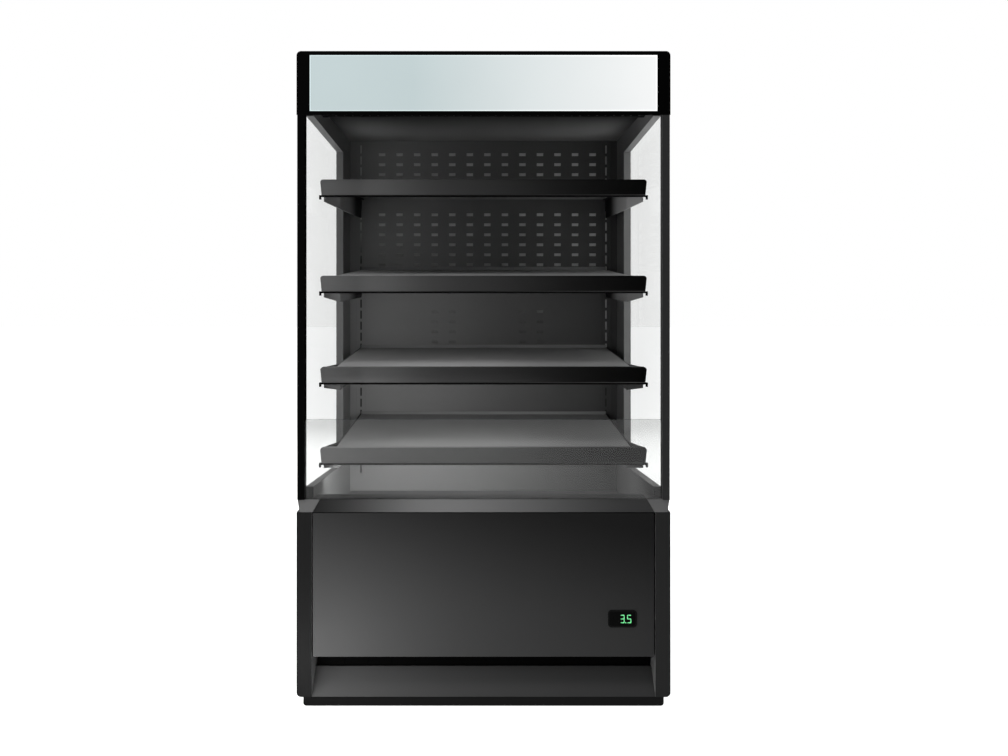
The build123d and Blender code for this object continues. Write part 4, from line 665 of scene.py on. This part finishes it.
dress(fan_plastic, "evaporator_fan_left", "evaporator_fan_right", "condenser_fan")
# the foam is black, and its near-black also paints the shade in the intake slit under the service panel
filter_foam = coated("filter foam", powder_coat,
                     {"Color": grey(5), "Roughness": 0.9, "Grain": 500.0, "Wear": 0.0},
                     bump=0.001, strength=0.5, Specular_IOR_Level=0.02)
dress(filter_foam, "air_filter")
grommet_rubber = coated("grommet rubber", powder_coat, {"Color": grey(30), "Roughness": 0.8, "Wear": 0.0})
dress(grommet_rubber, "compressor_grommets")
print("plastics done")

# %% [markdown]
# ## Metals
# Behind the panels are galvanised sheet, aluminium fins and copper pipe. The drawn metal group gives each
# its lines and patches.

# %% Metals
zinc = coated("galvanised sheet", drawn_metal, {"Color": grey(186), "Roughness": 0.3, "Patches": 0.25},
              Metallic=1.0)
dress(zinc, "fan_plate", "condenser_shroud", "drip_tray", "electrical_box", "rear_grille")
fin_aluminium = coated("fin aluminium", drawn_metal, {"Color": grey(215), "Roughness": 0.25,
                                                      "Stretch": (300.0, 300.0, 8.0)}, Metallic=1.0)
dress(fin_aluminium, "evaporator_coil", "condenser_coil")
pipe_copper = coated("pipe copper", drawn_metal, {"Color": (0.72, 0.36, 0.22, 1.0), "Roughness": 0.2,
                                                  "Patches": 0.2}, Metallic=1.0)
dress(pipe_copper, "refrigerant_lines")
foot_steel = coated("foot steel", drawn_metal, {"Color": grey(180), "Roughness": 0.3,
                                                "Stretch": (300.0, 300.0, 30.0)}, Metallic=1.0)
dress(foot_steel, "foot_front_left", "foot_front_right", "foot_rear_left", "foot_rear_right")
machine_enamel = coated("machine enamel", powder_coat, {"Color": grey(28), "Roughness": 0.35, "Wear": 0.3})
dress(machine_enamel, "compressor", "evaporator_motors", "condenser_motor")
print("metals done")

# %% [markdown]
# ## Temperature figures
# The thermostat shows its set temperature in green seven-segment figures. One segment is modelled as a thin
# bar with pointed ends, and the figures are copies of it: a table says which segments each figure lights.

# %% One segment
figure_height = 0.0225
figure_width = 0.0115
segment_width = 0.0024
segment_thickness = 0.0001
dot_radius = 0.0014


def deselect_all():
    """Nothing selected, in object mode."""
    if bpy.context.mode != "OBJECT":
        bpy.ops.object.mode_set(mode="OBJECT")
    bpy.ops.object.select_all(action="DESELECT")


def copy_at(shape, move):
    """A copy with its own mesh, moved by a matrix."""
    copy = shape.copy()
    copy.data = shape.data.copy()
    bpy.context.scene.collection.objects.link(copy)
    copy.data.transform(move)
    return copy


def join_pieces(pieces, name):
    """One object from many."""
    deselect_all()
    for piece in pieces:
        piece.select_set(True)
    bpy.context.view_layer.objects.active = pieces[0]
    bpy.ops.object.join()
    joined = bpy.context.object
    joined.name = name
    return joined


def segment_bar(length):
    """A flat six-sided bar along X, lying in the XZ plane, centred at the origin."""
    deselect_all()
    bpy.ops.mesh.primitive_circle_add(vertices=6, radius=segment_width / 2, fill_type="NGON",
                                      rotation=(math.radians(90), 0, 0))
    bar = bpy.context.object
    bpy.ops.object.transform_apply(location=True, rotation=True, scale=True)
    for point in bar.data.vertices:
        point.co.x += math.copysign((length - segment_width) / 2, point.co.x)
    bpy.ops.object.mode_set(mode="EDIT")
    bpy.ops.mesh.select_all(action="SELECT")
    bpy.ops.mesh.extrude_region_move(TRANSFORM_OT_translate={"value": (0, -segment_thickness, 0)})
    bpy.ops.mesh.select_all(action="SELECT")
    bpy.ops.mesh.normals_make_consistent(inside=False)
    bpy.ops.object.mode_set(mode="OBJECT")
    return bar


segment = segment_bar(figure_width - segment_width * 0.6)
print("segment", [round(v, 4) for v in segment.dimensions])

# %% Figures from segments
half_w, half_h = figure_width / 2 - segment_width / 2, figure_height / 2 - segment_width / 2
# each segment: place across, place up, turned upright
segments = {
    "top": (0, half_h, False), "middle": (0, 0, False), "bottom": (0, -half_h, False),
    "upper_left": (-half_w, half_h / 2, True), "upper_right": (half_w, half_h / 2, True),
    "lower_left": (-half_w, -half_h / 2, True), "lower_right": (half_w, -half_h / 2, True),
}
lit = {
    "3": ("top", "middle", "bottom", "upper_right", "lower_right"),
    "5": ("top", "middle", "bottom", "upper_left", "lower_right"),
}
glow, glow_tree, glow_shader = new_material("figure glow", Roughness=0.4, Emission_Strength=1.0)
glow_noise = add_node(glow_tree, "ShaderNodeTexNoise", Vector=object_place(glow_tree), Scale=400.0)
glow_green = mix_colours(glow_tree, glow_noise.outputs["Fac"], (0.10, 0.55, 0.20, 1.0), (0.18, 0.72, 0.30, 1.0))
put(glow_tree, glow_green, glow_shader.inputs["Base Color"])
put(glow_tree, glow_green, glow_shader.inputs["Emission Color"])

face_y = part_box("display_window")[0][1]
figure_z = 0.2353
figure_x = {"3": 0.3715, "5": 0.3895}


def place_segment(x, z, upright):
    """A copy of the segment at its place on the lens."""
    turn = Matrix.Rotation(math.radians(90), 4, "Y") if upright else Matrix.Identity(4)
    return copy_at(segment, Matrix.Translation((x, face_y, z)) @ turn)


pieces = []
for figure, names in lit.items():
    for name in names:
        across, up, upright = segments[name]
        pieces.append(place_segment(figure_x[figure] + across, figure_z + up, upright))
deselect_all()
bpy.ops.mesh.primitive_cylinder_add(vertices=16, radius=dot_radius, depth=segment_thickness,
                                    rotation=(math.radians(90), 0, 0))
dot = bpy.context.object
bpy.ops.object.transform_apply(location=True, rotation=True, scale=True)
dot_x = (figure_x["3"] + figure_x["5"]) / 2
dot.data.transform(Matrix.Translation((dot_x, face_y - segment_thickness / 2, figure_z - half_h)))
pieces.append(dot)
figures = join_pieces(pieces, "temperature_figures")
figures.data.materials.clear()
figures.data.materials.append(glow)
bpy.data.objects.remove(segment)
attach(figures, "service_panel")
print("figures", [round(v, 4) for v in figures.dimensions])

# %% [markdown]
# ## Bead round the sign
# A thin bead of the same acrylic holds the sign in the black frame, and carries its light a little brighter.
# It is a plane at the sign's size, inset to a narrow border, with the middle deleted and the border pulled
# forward and bevelled.

# %% Sign bead
bead_width = 0.0026
bead_depth = 0.0016
bead_softening = 0.0004
sight_x = 0.465
sight_low, sight_high = 1.5937, 1.7433


def sign_bead():
    """A closed rectangular bead that stands on the acrylic, just inside the frame."""
    deselect_all()
    bpy.ops.mesh.primitive_plane_add(size=1.0, rotation=(math.radians(90), 0, 0))
    bead = bpy.context.object
    bpy.ops.object.transform_apply(location=True, rotation=True, scale=True)
    size = Matrix.Diagonal((2 * sight_x, 1, sight_high - sight_low, 1))
    bead.data.transform(Matrix.Translation((0, sign_low[1], (sight_low + sight_high) / 2)) @ size)
    bpy.ops.object.mode_set(mode="EDIT")
    bpy.ops.mesh.select_all(action="SELECT")
    bpy.ops.mesh.inset(thickness=bead_width)
    bpy.ops.mesh.delete(type="FACE")
    bpy.ops.mesh.select_all(action="SELECT")
    bpy.ops.mesh.extrude_region_move(TRANSFORM_OT_translate={"value": (0, -bead_depth, 0)})
    bpy.ops.mesh.select_all(action="SELECT")
    bpy.ops.mesh.normals_make_consistent(inside=False)
    bpy.ops.object.mode_set(mode="OBJECT")
    soften = bead.modifiers.new("soft edge", "BEVEL")
    soften.width = bead_softening
    soften.segments = 2
    bpy.ops.object.modifier_apply(modifier="soft edge")
    return bead


bead = sign_bead()
bead.name = "sign_bead"
bead.data.materials.append(sign_acrylic("bead acrylic", 1.4))
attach(bead, "cabinet")
print("bead", [round(v, 4) for v in bead.dimensions])

# %% [markdown]
# ## Screws
# Pan-head screws hold the rear grille and the wiring box. One is modelled: a disc whose rim is bevelled into
# a dome, with a socket sunk into its face. The rest are copies.

# %% One screw
screw_radius = 0.004
screw_height = 0.0022
dome_height = screw_height * 0.45
socket_rim = screw_radius * 0.28
socket_depth = screw_height * 0.5
smooth_angle = math.radians(35)


def model_screw():
    """A pan-head screw that stands on the XZ plane and faces -Y."""
    deselect_all()
    bpy.ops.mesh.primitive_cylinder_add(vertices=24, radius=screw_radius, depth=screw_height,
                                        location=(0, 0, screw_height / 2))
    screw = bpy.context.object
    bpy.ops.object.transform_apply(location=True, rotation=True, scale=True)
    bpy.ops.object.mode_set(mode="EDIT")
    bpy.ops.mesh.select_mode(type="FACE")
    bpy.ops.mesh.select_all(action="DESELECT")
    bpy.ops.object.mode_set(mode="OBJECT")
    for face in screw.data.polygons:
        face.select = face.normal.z > 0.9
    bpy.ops.object.mode_set(mode="EDIT")
    bpy.ops.mesh.bevel(offset=dome_height, segments=3)
    bpy.ops.mesh.select_all(action="DESELECT")
    bpy.ops.object.mode_set(mode="OBJECT")
    top = max(point.co.z for point in screw.data.vertices)
    for face in screw.data.polygons:
        face.select = face.normal.z > 0.99 and face.center.z > top - 1e-5
    bpy.ops.object.mode_set(mode="EDIT")
    bpy.ops.mesh.inset(thickness=socket_rim)
    bpy.ops.mesh.extrude_region_move(TRANSFORM_OT_translate={"value": (0, 0, -socket_depth)})
    bpy.ops.object.mode_set(mode="OBJECT")
    screw.data.transform(Matrix.Rotation(math.radians(90), 4, "X"))
    bpy.ops.object.shade_smooth_by_angle(angle=smooth_angle)
    return screw


screw = model_screw()
print("screw", [round(v, 4) for v in screw.dimensions])

# %% Place the screws
grille_low, grille_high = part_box("rear_grille")
electric_low, electric_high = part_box("electrical_box")
inset = 0.012
grille_middle_x = 0.15            # the two screws in the middle of each row stand this far from the centre
rear_places = [(x, grille_high[1], z) for z in (grille_low[2] + inset, grille_high[2] - inset)
               for x in (grille_low[0] + inset, -grille_middle_x, grille_middle_x, grille_high[0] - inset)]
rear_places += [(x, electric_high[1], electric_high[2] - inset)
                for x in (electric_low[0] + inset, electric_high[0] - inset)]
facing_back = Matrix.Rotation(math.radians(180), 4, "Z")
screws = [copy_at(screw, Matrix.Translation(place) @ facing_back) for place in rear_places]
rear_screws = join_pieces(screws, "rear_screws")
bpy.data.objects.remove(screw)
screw_steel = coated("screw steel", drawn_metal, {"Color": grey(170), "Roughness": 0.25}, Metallic=1.0)
rear_screws.data.materials.append(screw_steel)
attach(rear_screws, "cabinet")
print(len(rear_places), "screws on the back")

# %% [markdown]
# ## Seals behind the slots
# A thin grey strip closes each upright's slots against the duct behind it. It is cut away where a bracket's
# hooks come through, so it is modelled as short lengths between the hooks.

# %% Slot seals
upright_low, upright_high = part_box("upright_right")
upright_middle_x = (upright_low[0] + upright_high[0]) / 2
slot_first, slot_pitch = upright_low[2] + 0.014, 0.038
strip_margin = 0.004              # the strip ends this far from the first slot and from the upright's top
upright_sheet = 0.002
hook_steps = [step - lower for step in (25, 18, 11, 5) for lower in (0, 1)]
seal_width, seal_sheet, seal_gap = 0.009, 0.0003, 0.00005
hook_below, hook_above = 0.010, 0.014
sheet_back_y = upright_low[1] + upright_sheet


def seal_lengths():
    """The stretches of an upright that are free of hooks, as pairs of heights."""
    stretches, low = [], slot_first - strip_margin
    for step in sorted(hook_steps):
        seat = slot_first + step * slot_pitch
        if seat - hook_below > low + slot_pitch / 2:
            stretches.append((low, seat - hook_below))
        low = seat + hook_above
    stretches.append((low, upright_high[2] - strip_margin))
    return stretches


def seal_strip(x, low, high):
    """One length of strip: a thin box with its long edges bevelled."""
    deselect_all()
    bpy.ops.mesh.primitive_cube_add(size=1.0)
    strip = bpy.context.object
    strip.dimensions = (seal_width, seal_sheet, high - low)
    strip.location = (x, sheet_back_y + seal_gap + seal_sheet / 2, (low + high) / 2)
    bpy.ops.object.transform_apply(location=True, rotation=True, scale=True)
    bpy.ops.object.mode_set(mode="EDIT")
    bpy.ops.mesh.select_all(action="SELECT")
    bpy.ops.mesh.bevel(offset=seal_sheet / 4, segments=1)
    bpy.ops.object.mode_set(mode="OBJECT")
    return strip


strips = [seal_strip(side * upright_middle_x, low, high) for side in (-1, 1) for low, high in seal_lengths()]
slot_seals = join_pieces(strips, "slot_seals")
seal_foam = coated("seal foam", powder_coat, {"Color": grey(200), "Roughness": 0.7, "Wear": 0.0})
seal_shade_direction = (0.5, 0, 1)           # upwards, and to the right
seal_dark, seal_light = 1.0, 1.15
# painted shade: the seals darken low down and at the left
paint_shading(seal_foam, seal_shade_direction, seal_dark, seal_light, (0.02, 1.0))
slot_seals.data.materials.append(seal_foam)
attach(slot_seals, "cabinet")
print(len(strips), "lengths of seal")

# %% [markdown]
# ## Floor and background
# The photograph has a pure white background. The world is white where the camera, a reflection or a look
# through glass meets it, and a softer grey as a light. The floor is pale, and some light is added for the
# camera, for reflections and behind glass, so that it reads white and still keeps the cabinet's shadow.

# %% World
def seen_directly(tree):
    """1 for a look from the camera, in a reflection or through glass, and 0 for light."""
    ray = add_node(tree, "ShaderNodeLightPath")
    either = maths(tree, "MAXIMUM", ray.outputs["Is Camera Ray"], ray.outputs["Is Glossy Ray"])
    return maths(tree, "MAXIMUM", either, ray.outputs["Is Transmission Ray"])


light_colour, light_strength = (0.9, 0.92, 0.95, 1.0), 0.1
world = bpy.data.worlds.new("studio")
bpy.context.scene.world = world
world.use_nodes = True
world_tree = world.node_tree
seen = world_tree.nodes["Background"]
seen.inputs["Color"].default_value = (1, 1, 1, 1)
lighting = add_node(world_tree, "ShaderNodeBackground", Color=light_colour, Strength=light_strength)
choose = add_node(world_tree, "ShaderNodeMixShader", Fac=seen_directly(world_tree))
put(world_tree, lighting.outputs[0], choose.inputs[1])
put(world_tree, seen.outputs[0], choose.inputs[2])
put(world_tree, choose.outputs[0], world_tree.nodes["World Output"].inputs["Surface"])
print("world strength as a light", light_strength)

# %% Floor
floor_size = 40.0
glow_near, glow_far = 0.8, 3.0    # the added light grows between these distances from the cabinet
glow_least = 0.86
deselect_all()
bpy.ops.mesh.primitive_plane_add(size=floor_size, location=(0, 0, 0))
floor = bpy.context.object
floor.name = "floor"
floor_paint, floor_tree, floor_shader = new_material("floor", Roughness=0.9, Specular_IOR_Level=0.1,
                                                     Emission_Color=(1, 1, 1, 1))
floor_shader.inputs["Base Color"].default_value = (0.6, 0.6, 0.6, 1)
distance = vector_maths(floor_tree, "LENGTH", object_place(floor_tree))
growth = spread(floor_tree, distance, glow_near, glow_far, To_Min=glow_least, To_Max=1.0,
                interpolation_type="SMOOTHSTEP")
lift = maths(floor_tree, "MULTIPLY", seen_directly(floor_tree), growth)
put(floor_tree, lift, floor_shader.inputs["Emission Strength"])
floor.data.materials.append(floor_paint)
print("floor", tuple(round(v, 1) for v in floor.dimensions))
